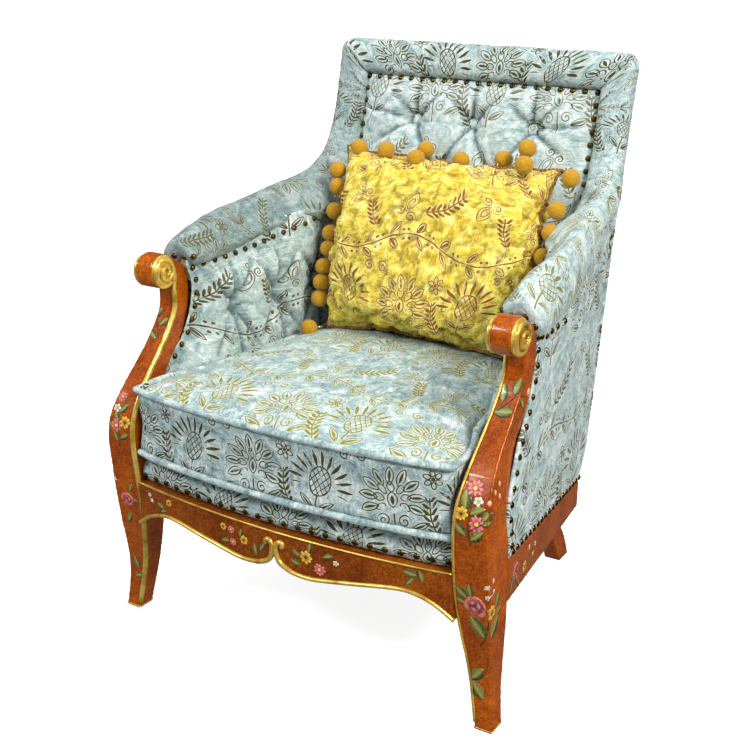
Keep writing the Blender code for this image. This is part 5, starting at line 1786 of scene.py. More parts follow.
@dataclass
class Border:
    """Padded bands along the arm tops that sweep up into the border of the back."""

    wide: float = 0.044
    front_wide: float = 0.018
    rear_wide: float = 0.034
    ridge: float = 0.003
    front_ridge: float = 0.026
    low: float = 0.011
    fall: float = 0.050
    front_fall: float = 0.040
    shoulder: float = 0.018
    front_shoulder: float = 0.034
    over: float = 0.011
    lip: float = 0.006
    full_end: float = 0.22
    bulge: float = 0.004
    drop: float = 0.010
    sag: float = 0.009
    sag_across: Pair = (0.20, 0.60)
    sag_end: Pair = (0.58, 0.68)
    hang: float = 0.013
    hang_across: Pair = (0.35, 0.95)
    hang_end: Pair = (0.22, 0.40)
    lap: float = 0.030
    under: float = 0.592
    reach: float = 0.018
    droop: float = 0.024
    narrow: float = 0.004
    tuck: float = 0.024
    corner: float = 0.026
    arm_end: float = 0.45
    sweep_end: float = 0.70
    nose_end: float = 0.14
    length: float = 0.93
    girth: float = 0.090
    skirt: float = 0.055
    crest_skirt: float = 0.064

    def lines(self, share: float) -> tuple[Vector, Vector]:
        """Top and underside of the band at a share of its length, as (y, z) pairs."""
        slope = math.atan(LINES.arm_slope)
        along = Vector((math.cos(slope), math.sin(slope)))
        up = Vector((math.sin(LINES.rake), math.cos(LINES.rake)))
        level = 1.0 - math.tan(LINES.rake) * LINES.arm_slope
        y = LINES.back_at(LINES.arm_base + LINES.arm_roll, LINES.back_thick) / level
        corner = Vector((y, LINES.arm_line(y) + LINES.arm_roll))
        turn = math.pi / 2.0 - LINES.rake - slope
        reach = LINES.sweep_radius * math.tan(turn / 2.0)
        start, finish = corner - along * reach, corner + up * reach
        rear_depth = LINES.cover + LINES.gap
        heel_y = LINES.back_at(LINES.arm_base, rear_depth) / level
        heel = Vector((heel_y, LINES.arm_line(heel_y)))
        rise = LINES.rise_at(finish.y, LINES.back_thick)
        rear = LINES.back_point(0.0, rise, rear_depth).yz
        if share <= self.arm_end:
            y = blend(LINES.arm_front, start.x, share / self.arm_end)
            return Vector((y, LINES.arm_line(y) + LINES.arm_roll)), Vector((y, LINES.arm_line(y)))
        if share <= self.sweep_end:
            part = (share - self.arm_end) / (self.sweep_end - self.arm_end)
            centre = start + LINES.sweep_radius * Vector((-math.sin(slope), math.cos(slope)))
            angle = slope - math.pi / 2.0 + turn * part
            top = centre + LINES.sweep_radius * Vector((math.cos(angle), math.sin(angle)))
            under = Vector((start.x, LINES.arm_line(start.x)))
            if part <= 0.5:
                return top, blend(under, heel, 2.0 * part)
            return top, blend(heel, rear, 2.0 * part - 1.0)
        part = (share - self.sweep_end) / (1.0 - self.sweep_end)
        top = LINES.back_point(0.0, blend(rise, LINES.back_rise, part), LINES.back_thick).yz
        return top, blend(rear, LINES.back_point(0.0, LINES.back_rise, rear_depth).yz, part)

    def tucked(self, depth: float) -> float:
        """How far the back's outer edge draws in toward its rear."""
        share = (LINES.back_thick - depth) / (LINES.back_thick - LINES.cover)
        return self.tuck * min(max(share, 0.0), 1.0)

    def place(self, a: float, b: float, c: float) -> Vector:
        """Places a point of the right band: along, across and up."""
        top, under = self.lines(a)
        lift = ease(self.arm_end - 0.10, self.sweep_end, a)
        edge = abs(2.0 * b - 1.0)
        nose = max(0.0, 1.0 - a / self.nose_end) ** 2
        full = 1.0 - ease(0.0, self.full_end, a)
        wide = self.wide + self.front_wide * full + self.rear_wide * ease(0.30, self.arm_end, a)
        ridge = (wide - self.ridge - self.front_ridge * full) / (wide + self.over)
        inside = 1.0 - math.sin(math.pi / 2.0 * min(b / ridge, 1.0))
        outside = max(0.0, (b - ridge) / (1.0 - ridge))
        crown = self.low * (1.0 - full)
        slope = crown + (blend(self.fall, self.front_fall, full) - crown) * inside
        slope += blend(self.shoulder, self.front_shoulder, full) * outside ** 2
        fall = blend(slope, self.drop * edge ** 3, ease(self.arm_end, self.sweep_end, a))
        thick = (top - under).length
        high = blend(under, top, (1.0 - fall / thick) * (1.0 - self.droop * nose / thick))
        hang = max(0.0, under.y - self.under) * ease(*self.hang_across, b) * (1.0 - ease(*self.hang_end, a))
        sag = self.hang + self.lap * ease(0.35, self.arm_end, a)
        sag *= 1.0 - ease(*self.sag_end, a)
        sag += self.sag * math.sin(math.pi * min(a / self.arm_end, 1.0))
        hang += sag * (1.0 - ease(*self.sag_across, b))
        low = under - Vector((0.0, hang))
        point = blend(low, high, c)
        point.x -= self.reach * nose * (0.45 + 0.55 * math.sin(0.75 * math.pi * c))
        ahead = (LINES.back_at(point.y, LINES.back_pad) - point.x) / LINES.border_top
        free = ease(0.5, 1.5, ahead)
        inner = blend(LINES.back_half - LINES.border_side, LINES.side_x(point.x) - wide, free)
        depth = (LINES.back_at(point.y, 0.0) - point.x) * math.cos(LINES.rake)
        outer = blend(LINES.side_x(top.x), LINES.back_half - self.tucked(depth), lift)
        bulge = self.bulge * math.sin(math.pi * c)
        inner += self.narrow * nose
        over = 0.003 + bulge + self.over * math.sin(math.pi / 2.0 * min(c / 0.45, 1.0))
        lip = self.lip * (1.0 - full) * math.sin(math.pi * c)
        x = blend(inner - (bulge + lip) * free, outer + over * (1.0 - lift) - 0.3 * self.narrow * nose, b)
        mitre = LINES.border_top * (1.0 - b) * ease(self.sweep_end, 1.0, a)
        found = Vector((x, point.x - math.sin(LINES.rake) * mitre, point.y - math.cos(LINES.rake) * mitre))
        return LINES.cornered(found, self.corner, self.tucked(depth)) if a > self.sweep_end else found

    def side(self) -> Shape:
        """The right band."""

        def cloth(a: float, b: float, c: float) -> Triple:
            """Runs the cloth along the band and over its sides and front."""
            # Half the ink's lighter colour on the arm's roll, as painted light where the light falls on top.
            above = 0.5 * (1.0 - ease(0.45, 0.65, a))
            if a == 0.0:
                return (b * self.girth + 0.11, 0.02 - self.skirt * (1.0 - c), above)
            across = b * self.girth + (self.skirt if b > 0.5 else -self.skirt) * (1.0 - c)
            return (across + 0.11, a * self.length + 0.02, above)

        box = SoftBox((self.length, self.girth, 0.060), 0.0060,
                      ((0.022, 0.0015), (0.014, 0.018), (0.006, 0.018)), self.place, cloth, 0.006)
        return box.build().rippled(0.0014, 26.0, 7.0).rippled(0.0006, 60.0, 3.0, True)

    def crest(self) -> Shape:
        """The band along the crest."""
        rear_depth = LINES.cover + LINES.gap

        def place(a: float, b: float, c: float) -> Vector:
            """Places a point of the band: across, up and forward."""
            edge = abs(2.0 * b - 1.0)
            depth = blend(rear_depth, LINES.back_thick - self.drop * edge ** 3, c)
            reach = LINES.back_half - LINES.border_side * (1.0 - b) - self.tucked(depth) * b - 0.0006
            rise = LINES.back_rise - LINES.border_top * (1.0 - b)
            found = LINES.back_point(blend(-reach, reach, a), rise, depth)
            return LINES.cornered(found, self.corner, self.tucked(depth))

        def cloth(a: float, b: float, c: float) -> Triple:
            """Runs the cloth across the band and over its top."""
            up = b * LINES.border_top + (self.crest_skirt if b > 0.5 else -self.crest_skirt) * (1.0 - c)
            return (a * 2.0 * LINES.back_half + 0.20, up + 0.045, 0.0)

        box = SoftBox((0.56, LINES.border_top, 0.064), 0.0070,
                      ((0.0015, 0.0015), (0.010, 0.018), (0.006, 0.018)), place, cloth, 0.007)
        return box.build().rippled(0.0014, 26.0, 9.0).rippled(0.0006, 60.0, 3.0, True)

    def build(self) -> None:
        """Builds both side bands and the crest band."""
        right = self.right = self.side()
        # Painted shade on each band, for its arm part and back part, negative for painted light: the left band
        # is shaded darkest, the crest a little, and the right band's arm is lit a little.
        velvet_piece("side_band_right_padded", ["side_band_right"], 0.8, (-0.06, 0.06)).make(right)
        velvet_piece("side_band_left_padded", ["side_band_left"], 0.8, (0.58, 0.34)).make(right.mirrored())
        velvet_piece("crest_band_padded", ["crest_band"], 0.8, (0.10, 0.10)).make(self.crest())


@dataclass
class Arms:
    """Tufted inside arms and taut outside arms."""

    edge: float = 0.064
    crown: float = 0.014
    rail: float = 0.0423
    front: float = 0.0441
    tuft_y: float = 0.225
    tuft_step: float = 0.108
    tuft_z: float = 0.530
    tufting: Tufting = Tufting(0.013, 0.014, 0.0150, 0.0055, 0.0060)
    pleat_steps: tuple[Pair, ...] = ((0.012, -0.125), (0.050, -0.085), (-0.052, -0.075),
                                     (-0.046, 0.062), (0.048, 0.070), (0.004, 0.075))
    hollow: float = 0.021
    hollow_up: Pair = (0.78, 0.95)
    hollow_end: Pair = (0.340, 0.430)
    swell: float = 0.0022

    def tufts(self) -> list[Pair]:
        """Places of the buttons as (y, z)."""
        return [(self.tuft_y + number * self.tuft_step, self.tuft_z) for number in range(3)]

    def pleats(self) -> list[tuple[Pair, Pair]]:
        """Lines of the pleats from the buttons to seat and arm."""
        lines = []
        for y, z in self.tufts():
            lines += [((y, z), (y + along, z + up)) for along, up in self.pleat_steps]
        return lines

    def offset(self, y: float, z: float) -> float:
        """Offset of the inner face from the outer side plane."""
        low = LINES.deck_low
        along = (y - LINES.leg_rear) / (LINES.back_y - LINES.back_thick - LINES.leg_rear)
        along = min(max(along, 0.0), 1.0)
        up = min(max((z - low) / (LINES.arm_line(y) - low), 0.0), 1.0)
        swell = (1.0 - (2.0 * along - 1.0) ** 6) * (1.0 - (2.0 * up - 1.0) ** 6)
        found = self.tufting.drawn(self.edge + self.crown * swell, y, z, self.places, self.folds)
        found -= self.hollow * ease(*self.hollow_up, up) * (1.0 - ease(*self.hollow_end, y))
        start = ease(0.008, 0.066, y - at_height(POST_REAR, z))
        return max(blend(self.front, found, start), self.rail + 0.0015)

    def inside(self) -> Shape:
        """The right inside arm."""
        low = LINES.deck_low + LINES.gap

        def flat(a: float, b: float) -> Pair:
            """Gives y and z of a place on the pad."""
            y, z = 0.3, low
            for _ in range(4):
                z = blend(low, LINES.arm_line(y) - LINES.gap, b)
                y = blend(at_height(POST_REAR, z) - 0.0015, LINES.back_at(z, LINES.back_pad) - LINES.gap, a)
            return y, z

        def place(a: float, b: float, c: float) -> Vector:
            """Places a point of the pad."""
            y, z = flat(a, b)
            return Vector((LINES.side_x(y) - blend(self.rail, self.offset(y, z), c), y, z))

        def cloth(a: float, b: float, c: float) -> Triple:
            """Runs the cloth along and up the pad."""
            y, z = flat(a, b)
            return (y + 0.055, z - 0.015, 0.0)

        box = SoftBox((0.36, 0.36, 0.030), 0.0042, ((0.003, 0.0), (0.0, 0.006), (0.0, 0.003)),
                      place, cloth, 0.012)
        return box.build().rippled(0.0010, 34.0, 5.0).rippled(0.0008, 48.0, 2.0, True)

    def outside(self) -> Shape:
        """The right outside arm."""

        def flat(a: float, b: float) -> Pair:
            """Gives y and z of a place on the panel."""
            y, z = 0.3, 0.4
            for _ in range(5):
                z = blend(LINES.rail_top(y) + LINES.gap, LINES.arm_line(y) - LINES.gap, b)
                rear = LINES.back_at(z, LINES.cover + 2.0 * LINES.gap)
                rear = blend(min(0.480, rear), rear, ease(0.222, LINES.back_z, z))
                y = blend(at_height(POST_REAR, z) - 0.0010, rear, a)
            return y, z

        def place(a: float, b: float, c: float) -> Vector:
            """Places a point of the panel."""
            y, z = flat(a, b)
            swell = taut(self.swell, a, b)
            return Vector((LINES.side_x(y) - LINES.cover * (1.0 - c) + swell * c, y, z))

        def cloth(a: float, b: float, c: float) -> Triple:
            """Runs the cloth along and up the panel."""
            y, z = flat(a, b)
            return (0.66 * y + 0.03, z + 0.08, 0.0)

        box = SoftBox((0.42, 0.38, 0.006), 0.0075, ((0.004, 0.004), (0.004, 0.004), (0.0, 0.004)),
                      place, cloth)
        return box.build().rippled(0.0006, 22.0, 8.0).rippled(0.0005, 45.0, 8.0, True)

    def build(self) -> None:
        """Builds both arms and their buttons."""
        self.places, self.folds = self.tufts(), self.pleats()
        inside, outside = self.inside(), self.outside()
        self.right = (inside, outside)
        tree = inside.tree()
        buttons = Shape()
        facing = LINES.inward()
        for y, z in self.tufts():
            hit = tree.ray_cast(Vector((0.0, y - LINES.side_taper * 0.3, z)), -facing)[0]
            buttons.join(self.tufting.covered(hit, facing))
        buttons.cloth = [(point.y * 1.5 + 0.3, point.z * 1.5, 0.0) for point in buttons.points]
        for side, twin in (("right", False), ("left", True)):
            nodes = [f"arm_button_{side}_{number}" for number in range(1, 4)]
            # Negative painted shade paints light on the inside and outside arms.
            for name, parts, fill, painted_shade, shape in (
                    (f"inside_arm_{side}_tufted", [f"inside_arm_{side}"], 0.7, -0.08, inside),
                    (f"outside_arm_{side}_covered", [f"outside_arm_{side}"], 0.3, -0.12, outside),
                    (f"arm_buttons_{side}", nodes, None, 0.0, buttons)):
                velvet_piece(name, parts, fill, (painted_shade, painted_shade)).make(shape.mirrored() if twin else shape)


@dataclass
class OutsideBack:
    """Taut outside back."""

    tuck: float = 0.029
    corner: float = 0.026
    swell: float = 0.003

    def build(self) -> None:
        """Builds the panel."""
        low_half = LINES.side_x(LINES.back_at(LINES.back_z, 0.0))

        def place(a: float, b: float, c: float) -> Vector:
            """Places a point of the panel, with its outer face at the rear."""
            half = blend(low_half, LINES.back_half - self.tuck, b)
            depth = LINES.cover * c - taut(self.swell, a, b) * (1.0 - c)
            found = LINES.back_point(blend(-half, half, a), LINES.back_rise * b, depth)
            return LINES.cornered(found, self.corner, self.tuck)

        def cloth(a: float, b: float, c: float) -> Triple:
            """Runs the cloth across and up the panel."""
            return (a * 2.0 * low_half, LINES.back_rise * b + 0.02, 0.0)

        box = SoftBox((2.0 * low_half, LINES.back_rise, 0.006), 0.010,
                      ((0.004, 0.004), (0.004, 0.004), (0.004, 0.0)), place, cloth)
        self.panel = box.build().rippled(0.0006, 18.0, 4.0)
        velvet_piece("outside_back_covered", ["outside_back"], 0.3).make(self.panel)


@dataclass
class SeatBase:
    """Nose roll, deck, spring pad and dust cover under the loose cushion."""

    setback: float = 0.016
    swell: float = 0.006
    rear: float = 0.030
    back_rail: float = 0.4537
    rail_thick: float = 0.026
    rail_in: float = 0.0263
    dust_front: float = 0.052
    dust_heights: Pair = (0.206, 0.1777)
    dust_thick: float = 0.0012
    dust_sag: float = 0.004
    pad_front: float = 0.0356
    pad_thick: float = 0.018

    def nose(self) -> Shape:
        """The padded roll above the apron."""
        reach = at_height(LEG_INNER, LINES.deck_top) - 0.001

        def place(a: float, b: float, c: float) -> Vector:
            """Places a point of the roll."""
            x = blend(-reach, reach, a)
            swell = self.swell * 1.25 * math.sin(math.pi * c) - self.swell * c * c
            front = LINES.bow_y(x) + self.setback - swell
            z = blend(LINES.apron_top + LINES.gap, LINES.deck_top - LINES.gap, c)
            drop = self.swell * (1.0 - b) ** 4 * c
            return Vector((x, blend(front, self.rear, b), z - drop))

        def cloth(a: float, b: float, c: float) -> Triple:
            """Runs the cloth across the roll and over its top."""
            return (blend(-reach, reach, a) + 0.05, c * 0.045 + b * 0.05 + 0.055, 0.0)

        box = SoftBox((2.0 * reach, 0.060, 0.041), 0.0060, ((0.004, 0.004), (0.009, 0.0), (0.004, 0.009)),
                      place, cloth)
        return box.build().rippled(0.0012, 40.0, 2.0)

    def flat_box(self, low: float, high: float, front: float, rear: float, inset: float) -> Shape:
        """A flat pad between the arms.

        Args:
            low: Height of its underside.
            high: Height of its top.
            front: Front edge.
            rear: Rear edge.
            inset: How far its sides stay inside the outer side plane.

        Returns:
            The pad.
        """

        def place(a: float, b: float, c: float) -> Vector:
            """Places a point of the pad."""
            y = blend(front, rear, b)
            reach = min(LINES.side_x(y) - inset, at_height(LEG_INNER, low) - 0.002)
            return Vector((blend(-reach, reach, a), y, blend(low, high, c)))

        def cloth(a: float, b: float, c: float) -> Triple:
            """Runs the cloth across and along the pad."""
            return (a * 0.58, blend(front, rear, b), 1.0)

        thick = high - low
        ease_by = min(0.006, thick / 3.0)
        return SoftBox((0.58, rear - front, thick), 0.012, ((ease_by, ease_by),) * 3, place, cloth).build()

    def dust(self) -> Shape:
        """The dust cover, stretched under the rails and hanging a little."""
        front, rear = self.dust_front, self.back_rail + self.rail_thick
        shape = Shape()
        across, deep = 24, 20
        for level in (0.0, self.dust_thick):
            for j in range(deep + 1):
                y = blend(front, rear, j / deep)
                fall = min((y - front) / (self.back_rail - front), 1.0)
                low = blend(*self.dust_heights, fall)
                reach = LINES.side_x(y) - self.rail_in
                for i in range(across + 1):
                    side = 2.0 * i / across - 1.0
                    sag = self.dust_sag * (1.0 - side ** 2) * math.sin(math.pi * j / deep)
                    shape.points.append(Vector((reach * side, y, low - 0.0002 - level - sag)))
        shape.faces = sheet_faces(across, deep)[0]
        return shape

    def build(self) -> None:
        """Builds the seat's base."""
        self.front = self.nose()
        velvet_piece("nose_roll_covered", ["nose_roll"], 0.7).make(self.front)
        deck_rear = LINES.back_at(LINES.deck_low, LINES.back_pad) - LINES.gap
        deck = self.flat_box(LINES.deck_low + LINES.gap, LINES.deck_top, self.rear + LINES.gap, deck_rear,
                             LINES.arm_pad + LINES.gap)
        Piece("seat_deck_covered", FELT, slot=Slot.FELT, stands_for=["seat_deck"], fill=0.5).make(deck)
        rail_rear = self.back_rail + self.rail_thick
        pad = self.flat_box(LINES.deck_low - self.pad_thick, LINES.deck_low, self.pad_front, rail_rear,
                            self.rail_in)
        Piece("spring_pad_felted", FELT, slot=Slot.FELT, stands_for=["spring_pad"], fill=0.5).make(pad)
        dust = Piece("dust_cover_cloth", CAMBRIC, slot=Slot.CAMBRIC,
                     stands_for=["dust_cover"]).make(self.dust())
        wide, narrow = (2.0 * (LINES.side_x(y) - self.rail_in) for y in (self.dust_front, rail_rear))
        length = rail_rear - self.dust_front
        (wide + narrow) / 2.0 * length


# Nails


@dataclass
class Nails:
    """Rows of antique nails along the covers' edges."""

    covers: Sequence[Shape]
    camera: "Studio"
    radius: float = 0.0056
    height: float = 0.0042
    pitch: float = 0.0235
    nose_pitch: float = 0.0255
    rolled: tuple[Pair, ...] = ((512.5, 315.0), (525.6, 317.0), (535.0, 327.0), (539.5, 337.5),
                                (546.5, 336.0), (551.5, 331.0), (557.5, 326.5), (565.0, 321.0))
    bite: float = 0.0004
    foot: float = 0.003
    back_low: float = 0.40
    back_depth: float = 0.056
    back_inset: float = 0.0040
    top_inset: float = 0.0045
    rear_edge: float = 0.010
    rear_insets: Pair = (0.008, 0.038)
    inside: float = 0.050
    inner_run: Pair = (0.176, 0.480)
    inner_fall: float = 0.0190
    inner_sag: float = 0.0090
    front_run: Pair = (0.462, 0.634)
    front_off: float = 0.0060
    rear_run: Pair = (0.300, 0.600)
    rear_off: float = 0.0070
    rail_run: Pair = (0.066, 0.476)
    rail_up: float = 0.0080
    nose_half: float = 0.297
    nose_up: float = 0.0115
    search: float = 0.03

    def __post_init__(self) -> None:
        """Joins the covers that the nails are driven into."""
        joined = Shape()
        for cover in self.covers:
            joined.join(Shape(cover.points, cover.faces))
        self.tree = joined.tree()

    def nail(self, place: Vector, facing: Vector) -> Shape:
        """One nail, driven home."""
        return dome(place - facing * self.bite, facing, self.radius, self.height, 4, 12, self.foot)

    def row(self, points: Sequence[Vector], way: Callable[[Vector], Vector], pitch: float) -> Shape:
        """Sets nails along a line, on whatever cover lies there.

        Args:
            points: The line.
            way: Direction from which a nail at a place is driven.
            pitch: Distance between nails.

        Returns:
            The nails.
        """
        shape = Shape()
        for point in along_line(points, pitch):
            facing = way(point)
            hit, normal, _, _ = self.tree.ray_cast(point + facing * self.search, -facing, 2.0 * self.search)
            if hit is None:
                hit, normal = point, facing
            if normal.dot(facing) < 0.0:
                normal = -normal
            shape.join(self.nail(hit, (normal + facing * 1.5).normalized()))
        return shape

    def around(self, corners: Sequence[Pair], depth: float, facing: Vector) -> Shape:
        """Sets nails along the sides of the back, from corner to corner.

        Args:
            corners: Places as (x, rise).
            depth: Depth of the line in front of the rear plane.
            facing: Direction in which the nails look.

        Returns:
            The nails.
        """
        shape = Shape()
        for first, second in zip(corners, corners[1:]):
            points = [LINES.back_point(*first, depth), LINES.back_point(*second, depth)]
            shape.join(self.row(points, lambda point: facing, self.pitch))
        return shape

    def back_rows(self) -> Shape:
        """Nails along the inner edge of the back's border."""
        half = LINES.back_half - LINES.border_side - self.back_inset
        top = LINES.back_rise - LINES.border_top - self.top_inset
        corners = [(-half, self.back_low), (-half, top), (half, top), (half, self.back_low)]
        return self.around(corners, self.back_depth, LINES.forward())

    def arm_rows(self) -> Shape:
        """Nails along the right arm, inside, outside and at its front."""
        inward = LINES.inward()
        outward = -inward
        shape = Shape()
        inner, front, rear, rail = [], [], [], []
        for step in range(41):
            share = step / 40.0
            y = blend(*self.inner_run, share)
            fall = self.inner_fall + self.inner_sag * math.sin(math.pi * share)
            inner.append(Vector((LINES.side_x(y) - self.inside, y, LINES.arm_line(y) - fall)))
            z = blend(*self.front_run, share)
            y = at_height(POST_REAR, z) + self.front_off
            front.append(Vector((LINES.side_x(y) - self.inside, y, z)))
            z = blend(*self.rear_run, share)
            y = at_height(POST_REAR, z) + self.rear_off
            rear.append(Vector((LINES.side_x(y), y, z)))
            y = blend(*self.rail_run, share)
            rail.append(Vector((LINES.side_x(y), y, LINES.rail_top(y) + self.rail_up)))
        shape.join(self.row(inner, lambda point: inward, self.pitch))
        ahead = (inward + Vector((0.0, -0.4, 0.0))).normalized()
        shape.join(self.row(front, lambda point: ahead, self.pitch))
        for line in (rear, rail):
            shape.join(self.row(line, lambda point: outward, self.pitch))
        for pixel in self.rolled:
            hit, normal, _, _ = self.tree.ray_cast(*self.camera.ray(pixel))
            if hit is not None:
                shape.join(self.nail(hit, normal))
        return shape

    def outside_back_rows(self) -> Shape:
        """Nails round the outside back."""
        low_half = LINES.side_x(LINES.back_at(LINES.back_z, 0.0)) - self.rear_insets[0]
        high_half = LINES.back_half - self.rear_insets[1]
        low, high = self.rear_edge, LINES.back_rise - self.rear_edge
        corners = [(-low_half, low), (-high_half, high), (high_half, high), (low_half, low)]
        return self.around(corners, 0.0, -LINES.forward())

    def nose_row(self) -> Shape:
        """Nails along the bottom of the nose roll."""
        line = []
        for step in range(81):
            x = blend(-self.nose_half, self.nose_half, step / 80.0)
            line.append(Vector((x, LINES.bow_y(x), LINES.apron_top + self.nose_up)))

        def way(point: Vector) -> Vector:
            """Looks out square to the bow."""
            return Vector((2.0 * LINES.bow * point.x / LINES.leg_in ** 2, -1.0, 0.0)).normalized()

        return self.row(line, way, self.nose_pitch)

    def build(self) -> None:
        """Builds the nails as one piece for each group."""
        arms = self.arm_rows()
        arms.join(arms.mirrored())
        back = self.back_rows()
        back.join(self.outside_back_rows())
        for name, shape in (("nails_back", back), ("nails_arms", arms), ("nails_nose", self.nose_row())):
            Piece(name, BRASS).make(shape)


# Loose cushion and pillow


@dataclass
class SeatCushion:
    """Loose box cushion with a crown and covered welts."""

    low: float = 0.326
    high: float = 0.440
    crown: float = 0.030
    front_half: float = 0.2995
    draw: float = 0.004
    clear: float = 0.0012
    welt: float = 0.0060
    notch: float = 0.0075
    notch_tall: float = 0.007
    corner: float = 0.004
    corner_start: float = 2.86
    corner_run: float = 0.14
    edge_fall: float = 0.004

    def half(self, y: float) -> float:
        """Half width at a depth: wide between the posts, then along the arms."""
        arms = LINES.side_x(max(y, LINES.leg_rear)) - LINES.arm_pad - self.clear - 0.006
        return blend(self.front_half, arms, ease(0.020, 0.150, y))

    def plan(self, a: float, b: float, z: float) -> Vector:
        """Plan place of a cushion point before its sides are drawn in."""
        rear = LINES.back_at(z, LINES.back_pad) - self.clear - 0.010
        guess = blend(LINES.bow_end, rear, b)
        x = self.half(guess) * (2.0 * a - 1.0)
        return Vector((x, blend(LINES.bow_y(x), rear, b), z))

    def drawn_in(self, u: float, v: float) -> float:
        """How far a place near a front corner is drawn in."""
        return self.corner * max(0.0, abs(u) + 2.0 * max(0.0, -v) - self.corner_start) / self.corner_run

    def rim(self, a: float, b: float, z: float) -> Vector:
        """Place of a welt point, drawn in at the front corners."""
        u, v = 2.0 * a - 1.0, 2.0 * b - 1.0
        point = self.plan(a, b, z)
        return point + Vector((0.0, self.drawn_in(u, v), 0.0))

    def place(self, a: float, b: float, c: float) -> Vector:
        """Places a point of the cushion: across, back and up."""
        u, v = 2.0 * a - 1.0, 2.0 * b - 1.0
        point = self.plan(a, b, blend(self.low, self.high, c))
        edge = max(0.0, 1.0 - min(c, 1.0 - c) * (self.high - self.low) / self.notch_tall)
        inset = self.notch * edge + self.draw * math.sin(math.pi * c) ** 2
        point.x -= inset * u * abs(u) ** 8
        point.y -= inset * v * abs(v) ** 8 - self.drawn_in(u, v)
        swell = (1.0 - u ** 4) * (1.0 - v ** 4)
        lift = ease(0.9, 1.0, c)
        point.z += (self.crown * swell ** 0.8 - self.edge_fall * max(abs(u), abs(v)) ** 60) * lift
        sink = ease(0.1, 0.0, c)
        point.z -= (self.low - LINES.deck_top - LINES.gap) * (1.0 - max(abs(u), abs(v)) ** 12) * sink
        return point

    def cloth(self, a: float, b: float, c: float) -> Triple:
        """Runs the cloth over the top and round the boxing."""
        # Top faces get the ink's lighter colour, as painted light; the bottom and boxing get the plain ink.
        if c in (0.0, 1.0):
            return (a * 0.58 + 0.03, b * 0.50 + 0.02, 1.0 if c else 0.0)
        around = a * 0.60 if b < 0.5 else -a * 0.55
        if a in (0.0, 1.0):
            around = 0.60 * a + (b if a else -b) * 0.5
        return (around + 0.052, c * 0.114 + 0.024, 0.0)

    def build(self) -> None:
        """Builds the cushion and its welts."""
        box = SoftBox((0.59, 0.49, 0.114), 0.0060, ((0.004, 0.004), (0.004, 0.004), (0.003, 0.003)),
                      self.place, self.cloth, 0.006)
        shape = box.build().rippled(0.0014, 22.0, 6.0).rippled(0.0007, 50.0, 4.0, True)
        Piece("seat_cushion_covered", BLUE, Body.CUSHION, Slot.VELVET, ["seat_cushion"], 0.8).make(shape)
        rim = [(step / 40.0, 0.0) for step in range(40)] + [(1.0, step / 30.0) for step in range(30)]
        rim += [(1.0 - a, 1.0 - b) for a, b in rim]
        for name, z in (("top", self.high), ("bottom", self.low)):
            points = [self.rim(a, b, z) for a, b in rim]
            line = along_line(points + points[:1], 0.0030)[:-1]
            swell = [self.welt * (1.0 + 0.10 * noise.noise(point * 45.0)) for point in line]
            last = len(line) - 1
            tube = swept(line, lambda share: swell[int(round(share * last))], 10, True, cloth_start=(0.0, 0.3))
            # The welts take the lighter velvet, a painted highlight.
            Piece(f"cushion_welt_{name}_covered", LIT_WELT, Body.CUSHION, Slot.VELVET, [f"cushion_welt_{name}"],
                  0.8).make(tube)


